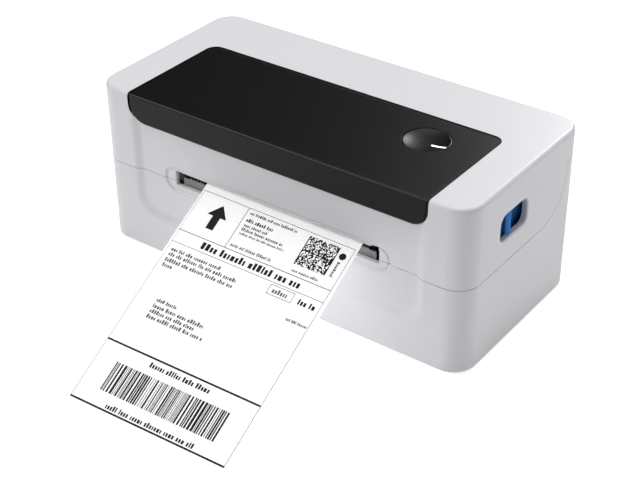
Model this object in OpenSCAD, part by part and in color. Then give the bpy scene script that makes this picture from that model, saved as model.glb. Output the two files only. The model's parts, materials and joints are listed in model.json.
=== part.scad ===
// Desktop label printer: a base, a cover hinged at the rear, and the print mechanism inside.
// X runs from left to right, Y from front to rear, Z up. The body is centred on X and Y,
// and the feet stand on z = 0. Parts are drawn with z = 0 at the casing's bottom edge.

/* [Body] */
// Overall width of the casing, side to side
body_width = 225; // [215:1:235]
// Overall depth of the casing, front to back
body_depth = 107.5; // [106:0.5:112]
// Height of the casing above its bottom edge
body_height = 91; // [90:0.5:95]
// Radius of the upright corners seen from above
corner_radius = 12.5; // [10:0.5:14]
// Radius of the rounding along the top edge
top_radius = 2.2; // [1.5:0.1:3]
// Thickness of the side, rear and inner walls
wall = 2.2; // [2:0.1:2.6]
// Height of the split between cover and base at the front
split_z = 47.5; // [46:0.5:48.5]

/* [Feet] */
// Height the rubber feet stand below the casing
foot_height = 1.5; // [1:0.1:3]
// Radius of a foot
foot_radius = 7; // [5:0.5:9]

/* [Front face] */
// Half width of the shallow front recess
recess_x = 89.5; // [85:0.5:92]
// Depth of the front recess
recess_depth = 2; // [1.5:0.1:2.4]
// Half width of the label slot
slot_x = 63; // [60:0.5:65]
// Lower edge of the label slot
slot_bottom = 45; // [44:0.5:46]
// Upper edge of the label slot
slot_top = 53; // [52:0.5:55]

/* [Black panel] */
// Half width of the black top panel
panel_x = 90.5; // [86:0.5:93]
// Rear edge of the panel, measured from the middle of the body
panel_y = 15.3; // [12:0.5:20]
// Lower edge of the front band of the panel
panel_z = 75.3; // [74:0.1:80]

/* [Feed button] */
// Middle of the button, left to right
button_x = 60; // [50:1:66]
// Middle of the button, front to back
button_y = -7; // [-12:1:-4]
// Button radius
button_radius = 12; // [10:0.5:12.5]

/* [Hinge] */
// Radius of the hinge barrel at the rear of the cover
barrel_radius = 4.25; // [4:0.05:4.5]
// Height of the hinge axis
hinge_z = 76; // [76:0.5:77]

/* [Print mechanism] */
// Slope of the label as it leaves, in degrees below level
label_slope = 24; // [22:0.5:26]
// Platen roller radius
platen_radius = 8; // [7:0.1:8]
// Half length of the platen rubber and of the print head
platen_x = 57; // [54:1:57]
// Gear module
gear_module = 0.8; // [0.8]
// Teeth on the platen gear
platen_teeth = 24; // [24]
// Teeth on the small wheel of the idler
idler_small = 16; // [16]
// Teeth on the large wheel of the idler
idler_large = 36; // [36]
// Teeth on the motor pinion
pinion_teeth = 14; // [14]

/* [Label] */
// Label width
label_width = 96; // [50:1:100]
// Label length
label_length = 154; // [100:1:156]
// Label thickness with its liner
label_thickness = 0.2; // [0.15:0.05:0.3]
// Sideways position of the label where it leaves
label_x = 5.3; // [0:0.1:8]
// Angle by which the label's long edges run askew, its ends staying parallel to the slot
label_skew = 4.8; // [0:0.1:5]

/* [Media guides] */
// Half spacing of the two fences when fully open
guide_open = 56.4; // [54:0.1:57]
// Travel of each fence
guide_travel = 40; // [20:1:40]
// Module of the rack and its pinion
rack_module = 1; // [1]
// Teeth on the rack pinion
rack_teeth = 16; // [16]

/* [Hidden] */
$fn = 64;

white = [0.90, 0.90, 0.92];
black = [0.10, 0.10, 0.11];
grey = [0.28, 0.29, 0.31];
steel = [0.72, 0.73, 0.75];
blue = [0.06, 0.22, 0.50];
board_green = [0.05, 0.32, 0.16];
gear_white = [0.92, 0.92, 0.90];

// Faces of the casing
front_y = -body_depth/2;
rear_y = body_depth/2;
recess_y = front_y + recess_depth;    // face of the front recess
inner_front = recess_y + 2.8;         // inner face of the front wall
inner_rear = rear_y - wall - 0.1;     // inner face of the rear wall
inner_x = body_width/2 - wall;        // inner face of the side walls
inner_corner = corner_radius - wall;
ceiling_z = body_height - 3.6;        // underside of the cover's top wall
beyond_x = 150;                       // past both sides, for shapes cut across the body

// Seam between cover and base
seam_radius = 23;                     // quarter arc of the side seam
seam_y = 16;
joint_gap = 0.2;

// Hinge, with two knuckles on the base
hinge_y = rear_y - barrel_radius;
barrel_gap = 0.4;
knuckle_x = [60, 72];
pin_radius = 1.5;

// Screw and foot places: a single x stands for both sides
deck_post_x = 97;
deck_post_y = [-12, 36];
corner_screw_x = 104;
corner_screw_y = 41;
board_hole_x = [-20, 87];
board_hole_y = [-4, 34];
plate_hole_x = 57;
plate_hole_y = [-36, -20];
foot_x = 92;
foot_y = 38;
screw_radius = 1.25;

// Heights inside the base
deck_z = 43;                          // underside of the paper deck
tear_z = 40;                          // top of the ledge under the tear bar
board_bottom = 8;
board_top = 9.6;

// Middles of the parts at the rear wall
jack_x = 70;
port_x = 35;
socket_z = 15.1;                      // height of jack and port
switch_place = [-75, 0, 25];

// Parts that reach up through the deck
sensor_place = [21, -17, 0];
cover_switch_place = [80, -18, 0];

// Nip line, where the print head presses the label on the platen
nip_y = -40;
nip_z = 51.4 + (nip_y - recess_y) * tan(label_slope);
platen_y = nip_y + (platen_radius + 0.02) * sin(label_slope);
platen_z = nip_z - (platen_radius + 0.02) * cos(label_slope);

// Gear centres: platen to idler, idler to motor
function gear_spacing(teeth_a, teeth_b) = gear_module * (teeth_a + teeth_b) / 2 + 0.05;
idler_angle = -50;
idler_spacing = gear_spacing(platen_teeth, idler_small);
idler_y = platen_y + idler_spacing * cos(idler_angle);
idler_z = platen_z + idler_spacing * sin(idler_angle);
motor_angle = -60;
motor_spacing = gear_spacing(idler_large, pinion_teeth);
motor_y = idler_y + motor_spacing * cos(motor_angle);
motor_z = idler_z + motor_spacing * sin(motor_angle);

// Frame plates of the paper drive, each side
plate_inner_x = 60;
plate_outer_x = 62;

// Print head, in the tilted frame: y inward along the label, z away from it
pivot_along = 24;
pivot_above = 10;
carrier_hole_x = 48;
carrier_hole_y = [8, 22];
sink_top = 7.4;
bracket_top = 8.4;
carrier_bottom = 16;

// Racks and pinion that couple the paper guides
rack_y = 12;
rack_z = 39.2;
rack_radius = rack_module * rack_teeth / 2;
rack_back = 5.2;                      // pitch line to the back of the rack
rack_overrun = 6.6;                   // rack past the pinion's middle
key_width = 2.6;                      // key that joins fence to rack
key_near = 9.5;                       // key's sides, measured in y from the pinion
key_far = 13.2;

// Catch pin of the side latches, and the radius that the hook face keeps about the hinge
catch_y = -22;
catch_z = 40;
catch_radius = 1.5;
hook_radius = sqrt(pow(hinge_y - catch_y, 2) + pow(hinge_z - catch_z, 2)) + catch_radius + 0.1;

// ---------- helpers ----------
function both(value) = [-value, value];

module lift() translate([0, 0, foot_height]) children();

// Extrude a (y, z) outline along X
module extrude_x(x0, x1) translate([x0, 0, 0]) rotate([90, 0, 90])
    linear_extrude(x1 - x0) children();

// Extrude an (x, z) outline along Y
module extrude_y(y0, y1) translate([0, y1, 0]) rotate([90, 0, 0])
    linear_extrude(y1 - y0) children();

// Extrude an (x, y) outline along Z
module extrude_z(z0, z1) translate([0, 0, z0]) linear_extrude(z1 - z0) children();

// Cylinder along X
module rod_x(radius, x0, x1, y = 0, z = 0) translate([x0, y, z]) rotate([0, 90, 0])
    cylinder(r = radius, h = x1 - x0);

module hinge_rod(radius, x0, x1) rod_x(radius, x0, x1, hinge_y, hinge_z);

module box(low, high) translate(low) cube(high - low);

module centred_box(half_x, half_y, z0, z1) box([-half_x, -half_y, z0], [half_x, half_y, z1]);

module mirrored() {
    children();
    mirror([1, 0, 0]) children();
}

// Copy to every pair of the listed x and y
module at_each(xs, ys, z = 0) for (x = xs, y = ys) translate([x, y, z]) children();

module at_deck_posts(z) at_each(both(deck_post_x), deck_post_y, z) children();
module at_corner_screws(z) at_each(both(corner_screw_x), both(corner_screw_y), z) children();
module at_board_holes(z) at_each(board_hole_x, board_hole_y, z) children();
module at_carrier_holes(z) at_each(both(carrier_hole_x), carrier_hole_y, z) children();

// Rounded rectangle from (x0, y0) to (x1, y1)
module round_rect(x0, y0, x1, y1, radius) {
    translate([x0 + radius, y0]) square([x1 - x0 - 2*radius, y1 - y0]);
    translate([x0, y0 + radius]) square([x1 - x0, y1 - y0 - 2*radius]);
    for (x = [x0 + radius, x1 - radius], y = [y0 + radius, y1 - radius])
        translate([x, y]) circle(radius);
}

// Upper right quarter of a disc
module quarter_disc(radius) intersection() {
    circle(radius);
    translate([-0.001, -0.001]) square(radius + 1);
}

// Section of a block with rounded top corners
module top_section(width, height, radius) {
    translate([-width/2, 0]) square([width, height - radius]);
    translate([-width/2 + radius, 0]) square([width - 2*radius, height]);
    for (side = [-1, 1]) translate([side * (width/2 - radius), height - radius]) circle(radius);
}

// Whole body: round upright corners and a rounded top edge
module body_solid() {
    corner_x = body_width/2 - corner_radius;
    corner_y = body_depth/2 - corner_radius;
    core_radius = corner_radius - top_radius;
    edge_z = body_height - top_radius;
    extrude_x(-corner_x, corner_x) top_section(body_depth, body_height, top_radius);
    extrude_y(-corner_y, corner_y) top_section(body_width, body_height, top_radius);
    at_each(both(corner_x), both(corner_y)) rotate_extrude() {
        square([core_radius, body_height]);
        square([corner_radius, edge_z]);
        translate([core_radius, edge_z]) quarter_disc(top_radius);
    }
}

// Plan of the inside of the walls, drawn in by inset
module inner_outline(inset = 0) round_rect(-inner_x + inset, inner_front + inset,
    inner_x - inset, inner_rear - inset, inner_corner - max(inset, 0));

// Side outline of everything that belongs to the cover, grown by grow
module cover_side(grow = 0) {
    reach = 80;
    tall = 60;
    fillet = 4;
    seam_rear = seam_y + seam_radius;
    translate([-reach, split_z - grow]) square([reach + seam_y, tall]);
    translate([seam_y, split_z + seam_radius]) circle(seam_radius + grow);
    translate([-reach, split_z + seam_radius]) square([reach + seam_rear + grow, tall]);
    translate([-reach, hinge_z - grow]) square([2 * reach, tall]);
    difference() {
        translate([seam_rear + grow, hinge_z - fillet]) square(fillet - grow);
        translate([seam_rear + fillet, hinge_z - fillet]) circle(fillet - grow);
    }
}

// Coil spring along +Z, as a swept round wire
module coil(radius, wire, height, turns, steps = 12, sides = 6) {
    rings = turns * steps;
    points = [for (i = [0:rings], k = [0:sides - 1])
        let (turn = i * 360 / steps, around = k * 360 / sides, out = radius + wire * cos(around))
        [out * cos(turn), out * sin(turn),
         wire + (height - 2*wire) * i / rings + wire * sin(around)]];
    side_faces = [for (i = [0:rings - 1], k = [0:sides - 1])
        let (next = (k + 1) % sides)
        [i*sides + k, i*sides + next, (i + 1)*sides + next, (i + 1)*sides + k]];
    start_face = [for (k = [sides - 1:-1:0]) k];
    end_face = [for (k = [0:sides - 1]) rings*sides + k];
    polyhedron(points, concat(side_faces, [start_face], [end_face]));
}

// Involute teeth, thinned for backlash
pressure_angle = 25;
function involute(angle) = tan(angle) * 180 / PI - angle;
function tooth_half_angle(pitch_radius, teeth, radius) =
    let (base_radius = pitch_radius * cos(pressure_angle),
         flank_radius = radius < base_radius ? base_radius : radius)
    (90 / teeth - 0.06 / pitch_radius * 180 / PI)
        + involute(pressure_angle) - involute(acos(base_radius / flank_radius));

// Gear with one tooth centred at the angle start
module gear_outline(teeth, tooth_module, start) {
    pitch_radius = tooth_module * teeth / 2;
    root_radius = pitch_radius - 1.2 * tooth_module;
    radii = [root_radius,
        max(root_radius + 0.01, pitch_radius * cos(pressure_angle)),
        pitch_radius - 0.3 * tooth_module,
        pitch_radius,
        pitch_radius + 0.3 * tooth_module,
        pitch_radius + 0.62 * tooth_module,
        pitch_radius + 0.92 * tooth_module];
    // up one flank of each tooth and down the other
    polygon([for (i = [0:teeth - 1], step = [0:13])
        let (rising = step < 7,
             radius = radii[rising ? step : 13 - step],
             half = tooth_half_angle(pitch_radius, teeth, radius),
             angle = start + i * 360 / teeth + (rising ? -half : half))
        [radius * cos(angle), radius * sin(angle)]]);
}

// Straight rack along X, teeth to +Y from the pitch line y = 0, a gap at x = 0
module rack_outline(x0, x1) {
    pitch = PI * rack_module;
    half_root = pitch/4 + 0.56*rack_module - 0.06;
    half_tip = pitch/4 - 0.41*rack_module - 0.06;
    root = -1.21*rack_module;
    tip = 0.9*rack_module;
    translate([x0, -rack_back]) square([x1 - x0, rack_back - 1.2*rack_module]);
    for (i = [ceil(x0 / pitch):floor(x1 / pitch) - 1]) translate([(i + 0.5) * pitch, 0])
        polygon([[-half_root, root], [half_root, root], [half_tip, tip], [-half_tip, tip]]);
}

// Cross-slotted screw: shank down from z = 0, head up
module machine_screw(shank_radius, shank_length, head_radius, head_height) difference() {
    slot = [head_radius * 1.2, 0.5];
    union() {
        cylinder(r = head_radius, h = head_height);
        translate([0, 0, -shank_length]) cylinder(r = shank_radius, h = shank_length + 0.1);
    }
    translate([0, 0, head_height - 0.6]) linear_extrude(1) {
        square(slot, center = true);
        square([slot[1], slot[0]], center = true);
    }
}

// Frame tilted with the label: origin on the nip line
module tilted() translate([0, nip_y, nip_z]) rotate([label_slope, 0, 0]) children();

// ---------- base ----------
module base_walls() difference() {
    intersection() {
        body_solid();
        difference() {
            extrude_x(-body_width, body_width)
                translate([-80, -1]) square([160, hinge_z - joint_gap + 1]);
            extrude_x(-body_width - 1, body_width + 1) cover_side(joint_gap);
        }
    }
    extrude_z(-1, hinge_z - 2.4) inner_outline();
}

// Ring inside the front and side walls, open at the rear, the slot and the latches
lip_z = 43;
module lip_ring(z1, outer_inset) difference() {
    extrude_z(lip_z, z1) difference() {
        inner_outline(outer_inset);
        inner_outline(1.6);
    }
    box([-beyond_x, 6, 40], [beyond_x, 80, 60]);
    box([-67, -60, 40], [67, 0, 60]);
    mirrored() box([100, -42, 40], [120, -12, 60]);
}

module base_lip() {
    // raised lip inside the cover, notched below the seam at mid depth
    difference() {
        lip_ring(split_z + 2, 0.2);
        extrude_z(42, split_z) square([400, 2], center = true);
    }
    // joint of the lip to the wall, below the seam
    lip_ring(46.8, -0.2);
}

// Trough that closes the rear below the hinge barrel
module hinge_trough() intersection() {
    difference() {
        hinge_rod(6.8, -inner_x - 1, inner_x + 1);
        hinge_rod(barrel_radius + barrel_gap, -inner_x - 2, inner_x + 2);
    }
    extrude_z(hinge_z - 8, hinge_z - joint_gap) intersection() {
        round_rect(-inner_x - 0.5, inner_front, inner_x + 0.5, inner_rear + 0.5, inner_corner);
        translate([-beyond_x, hinge_y - 7]) square([2 * beyond_x, 20]);
    }
}

// Screw posts with webs to the side walls, and the blocks that carry the catch pins
module base_posts() {
    post_radius = 3.6;
    half_web = 1;
    deck_post_z = 8;
    corner_post_z = 2.2;
    at_deck_posts(deck_post_z) cylinder(r = post_radius, h = deck_z - deck_post_z);
    mirrored() for (y = deck_post_y)
        box([deck_post_x, y - half_web, deck_post_z], [inner_x + 0.5, y + half_web, deck_z]);
    at_corner_screws(corner_post_z) cylinder(r = post_radius, h = 20);
    mirrored() for (y = both(corner_screw_y))
        box([corner_screw_x, y - half_web, corner_post_z], [inner_x + 0.2, y + half_web, 22]);
    mirrored() box([108, catch_y - 3.5, catch_z - 4], [inner_x + 0.5, catch_y + 3.5, catch_z + 4]);
}

// Paper inlet with its sunk rim, and openings for the power jack, data port and switch
module rear_openings() {
    extrude_y(inner_rear - 5, rear_y + 5) round_rect(-60.5, 45, 60.5, 52, 2);
    extrude_y(rear_y - 0.8, rear_y + 5) round_rect(-64, 41.5, 64, 55.5, 4);
    translate([jack_x, 0, socket_z]) extrude_y(inner_rear - 1, rear_y + 1) circle(4.2);
    extrude_y(inner_rear - 1, rear_y + 1) round_rect(port_x - 6, 9.4, port_x + 6, 20.9, 0.8);
    translate(switch_place) extrude_y(inner_rear - 1, rear_y + 1)
        round_rect(-4.6, -6.2, 4.6, 6.2, 0.8);
}

module base_knuckles() mirrored() difference() {
    union() {
        hinge_rod(barrel_radius, knuckle_x[0], knuckle_x[1]);
        box([knuckle_x[0], hinge_y - barrel_radius, hinge_z - 8],
            [knuckle_x[1], hinge_y + 1.5, hinge_z]);
    }
    hinge_rod(pin_radius, knuckle_x[0] - 1, knuckle_x[1] + 1);
}

module base_housing() color(white) lift() {
    difference() {
        union() {
            base_walls();
            base_lip();
            hinge_trough();
            // ledge that carries the tear bar
            box([-60, inner_front - 0.5, tear_z - 2], [60, inner_front + 3.5, tear_z]);
            base_posts();
        }
        // hinge clearance along the rear
        hinge_rod(barrel_radius + barrel_gap, -beyond_x, beyond_x);
        box([-beyond_x, hinge_y, hinge_z - barrel_radius - 0.45],
            [beyond_x, hinge_y + 20, hinge_z + 5]);
        front_cuts();
        rear_openings();
        at_deck_posts(33) cylinder(r = screw_radius, h = 12);
        at_corner_screws(0) cylinder(r = screw_radius, h = 18);
        mirrored() rod_x(catch_radius, 104, inner_x + 0.9, catch_y, catch_z);
    }
    base_knuckles();
}

// Shallow recess of the front face, the sunk rim round the slot, and the slot
module front_cuts() {
    outside = front_y - 5;
    rim_x = slot_x + 7;
    extrude_y(outside, recess_y) round_rect(-recess_x, 21.5, recess_x, 110, 12);
    extrude_y(outside, recess_y + 0.4) round_rect(-rim_x, 41.3, rim_x, 55.3, 6.9);
    extrude_y(outside, inner_front + 1) round_rect(-slot_x, slot_bottom, slot_x, slot_top, 1);
}

foot_sink = 0.5;                      // foot let into the base plate

module base_plate() color(grey) lift() difference() {
    union() {
        linear_extrude(2) inner_outline(0.2);
        // stand-offs for the board
        at_board_holes(1) cylinder(r = 3, h = board_bottom - 1);
    }
    at_each(both(foot_x), both(foot_y), -1) cylinder(r = foot_radius + 0.1, h = 1 + foot_sink);
    at_corner_screws(-1) {
        cylinder(r = 1.5, h = 5);
        cylinder(r = 3.1, h = 1.9);
    }
    at_board_holes(2.5) cylinder(r = 1.05, h = 7);
    at_each([plate_hole_x], plate_hole_y, -1) cylinder(r = 1.3, h = 5);
    // cooling slots
    for (i = [-7:7]) translate([i * 5, 0, -1]) linear_extrude(5) round_rect(-1, -12, 1, 12, 0.9);
    // shallow recess for the data label
    translate([40, -40, -1]) linear_extrude(1.3) round_rect(0, 0, 40, 26, 2);
}

module rubber_feet() color(black) lift() {
    edge = 0.8;
    full_height = foot_height + foot_sink;
    at_each(both(foot_x), both(foot_y), -foot_height) rotate_extrude() {
        square([foot_radius - edge, full_height]);
        translate([0, edge]) square([foot_radius, full_height - edge]);
        translate([foot_radius - edge, edge]) mirror([0, 1, 0]) quarter_disc(edge);
    }
}

module bottom_screws() color(steel) lift() at_corner_screws(0.9) mirror([0, 0, 1])
    machine_screw(screw_radius, 14, 2.7, 0.8);

// Deck that carries the paper from the rear inlet to the platen
module media_deck() color(grey) lift() difference() {
    // guide slots: the key's path with clearance
    slot_inner = guide_open - guide_travel - 0.8;
    slot_outer = guide_open + key_width + 0.6;
    slot_near = key_near - 0.4;
    slot_far = key_far + 0.4;
    union() {
        extrude_z(deck_z, deck_z + 2) round_rect(-100.5, -27, 100.5, 40, 3);
        // chute to the rear inlet
        box([-59.8, 39, deck_z], [59.8, inner_rear - 0.1, deck_z + 1.8]);
        // raised runners under the paper
        for (x = [-48:12:48]) extrude_x(x - 0.6, x + 0.6) polygon([
            [-25, 44.9], [-22, 45.5], [inner_rear - 3, 45.5],
            [inner_rear - 0.4, 44.7], [inner_rear - 0.4, 44], [-25, 44]]);
        // post of the rack pinion
        translate([0, rack_y, 38.6]) cylinder(r = 2.4, h = 5);
    }
    extrude_z(42, 47) {
        round_rect(slot_inner, rack_y + slot_near, slot_outer, rack_y + slot_far, 1);
        round_rect(-slot_outer, rack_y - slot_far, -slot_inner, rack_y - slot_near, 1);
    }
    // room for the gears and the side plates
    box([-77, -30, 40], [-59, -8, 50]);
    box([59, -30, 40], [63, -24, 50]);
    // windows for the gap sensor and the cover switch
    translate(sensor_place) centred_box(4.2, 3.2, 42, 50);
    translate(cover_switch_place) centred_box(4.4, 3.4, 42, 50);
    // counterbored screw holes
    at_deck_posts(40) {
        cylinder(r = 1.4, h = 8);
        translate([0, 0, 4]) cylinder(r = 2.8, h = 4);
    }
    translate([0, rack_y, 37]) cylinder(r = 0.9, h = 7);
}

module deck_screws() color(steel) lift() at_deck_posts(44)
    machine_screw(screw_radius, 9, 2.4, 0.9);

module pinion_screw() color(steel) lift() translate([0, rack_y, 38.5]) mirror([0, 0, 1])
    machine_screw(0.9, 5, 4, 1);

// Serrated steel strip below the label
module tear_bar() color(steel) lift() {
    half_width = 60;
    last_tooth = 56;
    valley_z = 49.2;
    peak_z = 50.2;
    strip_y = inner_front + 0.05;
    translate([0, strip_y, 0]) extrude_y(0, 0.8) polygon(concat(
        [[-half_width, tear_z], [half_width, tear_z], [half_width, valley_z]],
        [for (i = [last_tooth:-1:-last_tooth]) [i, i % 2 == 0 ? valley_z : peak_z]],
        [[-half_width, valley_z]]));
    // folded foot along the strip
    box([-half_width, strip_y, tear_z], [half_width, inner_front + 3.5, tear_z + 0.8]);
}

// Frame plate in (y, z), down to the base plate; rear is its rear edge, rear_top that edge's top
module plate_outline(rear, rear_top) difference() {
    polygon([[-44, 2], [rear, 2], [rear, rear_top], [-22, 40],
        [-29, 50], [-33, 52.5], [-40.6, 52.5], [-44, 48]]);
    translate([platen_y, platen_z]) circle(5.5);
}

module side_plate_left() color(steel) lift() difference() {
    union() {
        extrude_x(-plate_outer_x, -plate_inner_x) plate_outline(6, 40);
        box([-plate_inner_x, -40, 2], [-54, -34.5, 3.2]);
    }
    rod_x(11.05, -63, -59, motor_y, motor_z);
    at_motor_bolts() rod_x(1.5, -63, -59);
    rod_x(2, -63, -59, idler_y, idler_z);
}

module side_plate_right() color(steel) lift() difference() {
    union() {
        extrude_x(plate_inner_x, plate_outer_x) plate_outline(-12, 24);
        box([54, -40, 2], [plate_inner_x, -16, 3.2]);
    }
    at_each([plate_hole_x], plate_hole_y) cylinder(r = 1.4, h = 5);
}

module platen_bushes() color([0.85, 0.78, 0.55]) lift() mirrored() difference() {
    union() {
        rod_x(5.5, 59.4, 62.4, platen_y, platen_z);
        rod_x(6.6, 58.4, plate_inner_x, platen_y, platen_z);
    }
    rod_x(3.04, 58, 63, platen_y, platen_z);
}

module at_motor_bolts() for (y = both(13), z = both(13))
    translate([0, motor_y + y, motor_z + z]) children();

// Square with cut corners
module motor_outline(half_side) translate([motor_y, motor_z]) intersection() {
    square(2 * half_side, center = true);
    rotate(45) square(2.36 * half_side + 1, center = true);
}

module stepper_motor() color([0.16, 0.16, 0.17]) lift() difference() {
    union() {
        // end caps and laminated middle: x from, x to, half side
        for (band = [[-plate_inner_x, -53, 17.5], [-53, -42, 16.9], [-42, -34, 17.5]])
            extrude_x(band[0], band[1]) motor_outline(band[2]);
        rod_x(11, -plate_outer_x, -59.9, motor_y, motor_z);
    }
    rod_x(2.6, -63, -40, motor_y, motor_z);
    at_motor_bolts() rod_x(1.2, -61, -55);
}

module motor_screws() color(steel) lift() at_motor_bolts() translate([-plate_outer_x, 0, 0])
    rotate([0, -90, 0]) machine_screw(1.2, 6, 2.4, 1.2);

module idler_post() color(steel) lift() {
    rod_x(2, -76, -plate_inner_x, idler_y, idler_z);
    rod_x(2.6, -62.8, -plate_outer_x, idler_y, idler_z);
    rod_x(3, -76.6, -75.6, idler_y, idler_z);
}

module main_board() color(board_green) lift() difference() {
    box([-26, -9, board_bottom], [93, 40, board_top]);
    at_board_holes(7) cylinder(r = 1.1, h = 4);
}

module processor_chip() color(black) lift() translate([30, 7, board_top]) {
    pin_pitch = 1.8;
    centred_box(7, 7, 0.2, 1.6);
    for (i = [-3:3]) translate([i * pin_pitch, 0, 0]) centred_box(0.4, 8, 0, 0.3);
}

// Cans with a groove near the foot
module capacitors() color([0.20, 0.22, 0.35]) lift() at_each([54, 66, 78], [18], board_top) {
    cylinder(r = 4, h = 1);
    cylinder(r = 3.7, h = 12);
    translate([0, 0, 2]) cylinder(r = 4, h = 10.5);
}

module board_screws() color(steel) lift() at_board_holes(board_top)
    machine_screw(1, 6, 2.2, 1.1);

module plate_screws() color(steel) lift() at_each([plate_hole_x], plate_hole_y, 3.2)
    machine_screw(screw_radius, 2.8, 2.2, 1.2);

module dc_jack() color(black) lift() translate([jack_x, 0, socket_z]) {
    difference() {
        union() {
            box([-4.5, 38, board_top - socket_z], [4.5, inner_rear - 0.1, 5.5]);
            extrude_y(inner_rear - 3, rear_y - 0.3) circle(4);
        }
        extrude_y(inner_rear - 8.5, rear_y + 1) circle(2.9);
    }
    // centre pin
    extrude_y(40, rear_y - 2.5) circle(1.05);
}

// Square port with bevelled upper corners, drawn in by inset
module port_outline(inset) translate([port_x, 0]) polygon([
    [-5.7 + inset, 9.7 + inset], [5.7 - inset, 9.7 + inset], [5.7 - inset, 18.3],
    [3.6 - inset*0.6, 20.6 - inset], [-3.6 + inset*0.6, 20.6 - inset], [-5.7 + inset, 18.3]]);

module usb_port() color(steel) lift() {
    difference() {
        extrude_y(36, rear_y - 0.4) port_outline(0);
        extrude_y(38, rear_y + 1) port_outline(0.5);
    }
    // tongue
    extrude_y(37, rear_y - 3) translate([port_x, socket_z]) square([5.6, 3.2], center = true);
}

rocker_y = rear_y - 1.4;              // axis of the power rocker

module switch_housing() color(black) lift() translate(switch_place) difference() {
    union() {
        extrude_y(rear_y, rear_y + 1.2) round_rect(-5.4, -7.4, 5.4, 7.4, 1.2);
        extrude_y(rear_y - 12, rear_y + 0.1) round_rect(-4.4, -6, 4.4, 6, 0.7);
    }
    extrude_y(rear_y - 9, rear_y + 2) translate([-4, -5.6]) square([8, 11.2]);
    rod_x(0.9, -4.3, 4.3, rocker_y);
}

// Rocker with a hollowed rear face, tipped to one side
module power_rocker() color([0.13, 0.13, 0.14]) lift()
    translate(switch_place + [0, rocker_y, 0]) rotate([9, 0, 0]) {
        extrude_x(-3.8, 3.8) difference() {
            intersection() {
                circle(5.1);
                translate([-4, -6]) square([8, 12]);
            }
            translate([14.4, 0]) circle(11);
            translate([-6, -6]) square([3, 12]);
        }
        rod_x(0.84, -4.2, 4.2);
    }

module gap_sensor() color(black) lift() translate(sensor_place) difference() {
    union() {
        centred_box(4, 3, 39.5, 45);
        centred_box(6.4, 1.5, 41.6, 42.9);
    }
    at_each(both(2), [0], 44.4) cylinder(r = 0.9, h = 2);
}

module cover_switch() color(black) lift() translate(cover_switch_place) {
    centred_box(4, 3, 36, 45);
    translate([0, 0, 44.9]) cylinder(r = 1.1, h = 1.6);
    centred_box(6, 2, 40.5, 42.9);
}

// Cable out of the motor's end, bent toward the front
module motor_cable() color([0.15, 0.15, 0.16]) lift() translate([-31, motor_y, 6.2]) {
    cable_radius = 1.5;
    bend = 4;
    rod_x(cable_radius, -3, 0);
    translate([0, -bend, 0]) rotate_extrude(angle = 90) translate([bend, 0]) circle(cable_radius);
    translate([bend, -bend, 0]) rotate([90, 0, 0]) cylinder(r = cable_radius, h = 6);
}

module hinge_pins() color(steel) lift() mirrored() hinge_rod(pin_radius, 54, 78);

module catch_pins() color(steel) lift() mirrored()
    rod_x(catch_radius, 102.6, inner_x + 0.9, catch_y, catch_z);

// ---------- paper drive ----------
shaft_radius = 3;

module platen_rubber() color([0.12, 0.12, 0.12]) lift() difference() {
    rod_x(platen_radius, -platen_x, platen_x, platen_y, platen_z);
    rod_x(shaft_radius, -platen_x - 1, platen_x + 1, platen_y, platen_z);
}

module platen_shaft() color(steel) lift() rod_x(shaft_radius, -70, 65, platen_y, platen_z);

module platen_gear() color(gear_white) lift() difference() {
    union() {
        extrude_x(-69, -64) translate([platen_y, platen_z])
            gear_outline(platen_teeth, gear_module, idler_angle);
        rod_x(5, -64.05, -63, platen_y, platen_z);
    }
    rod_x(shaft_radius, -71, -62, platen_y, platen_z);
}

module idler_gear() color(gear_white) lift() difference() {
    union() {
        extrude_x(-70.6, -63.8) translate([idler_y, idler_z])
            gear_outline(idler_small, gear_module, idler_angle + 180 + 180 / idler_small);
        extrude_x(-74, -70.5) translate([idler_y, idler_z])
            gear_outline(idler_large, gear_module, motor_angle);
        rod_x(4, -75, -73.9, idler_y, idler_z);
    }
    rod_x(2.05, -80, -60, idler_y, idler_z);
}

module motor_pinion() color([0.80, 0.66, 0.35]) lift() difference() {
    extrude_x(-74.6, -69.6) translate([motor_y, motor_z])
        gear_outline(pinion_teeth, gear_module, motor_angle + 180 + 180 / pinion_teeth);
    rod_x(2.5, -80, -60, motor_y, motor_z);
}

module motor_shaft() color(steel) lift() rod_x(2.5, -75.2, -42, motor_y, motor_z);

// ---------- media guides ----------
rack_end = guide_open + key_width;

// Right-hand fence with an inward lip at its top and a foot on the deck
module guide_body() {
    extrude_x(guide_open, guide_open + 2.4) round_rect(-12, 45.9, 34, 60, 1.5);
    box([guide_open - 3.4, -8, 58.4], [guide_open + 0.1, 30, 59.8]);
    box([guide_open - 0.6, -6, 45.9], [guide_open + 6, 26, 47.1]);
}

module guide_right() color(blue) lift() {
    guide_body();
    box([guide_open, rack_y + key_near, 42.4], [rack_end, rack_y + key_far, 46]);
    translate([0, rack_y + rack_radius, rack_z]) linear_extrude(3.3) mirror([0, 1, 0])
        rack_outline(-rack_overrun, rack_end);
}

module guide_left() color(blue) lift() {
    mirror([1, 0, 0]) guide_body();
    box([-rack_end, rack_y - key_far, 42.4], [-guide_open, rack_y - key_near, 46]);
    translate([0, rack_y - rack_radius, rack_z]) linear_extrude(3.3)
        rack_outline(-rack_end, rack_overrun);
}

module guide_pinion() color(gear_white) lift() difference() {
    translate([0, rack_y, rack_z]) linear_extrude(3.2) gear_outline(rack_teeth, rack_module, 90);
    translate([0, rack_y, 38]) cylinder(r = 2.45, h = 6);
}

// ---------- cover ----------
panel_thickness = 1.6;
panel_fit = 0.15;
panel_bottom = body_height - panel_thickness;
panel_corner = 6;
band_corner = 9.85;

module at_button(z = 0) translate([button_x, button_y, z]) children();
module button_hole() at_button(80) cylinder(r = button_radius + 0.3, h = 20);
module at_button_posts(z) at_button() at_each(both(14), [13.5], z) children();

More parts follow.
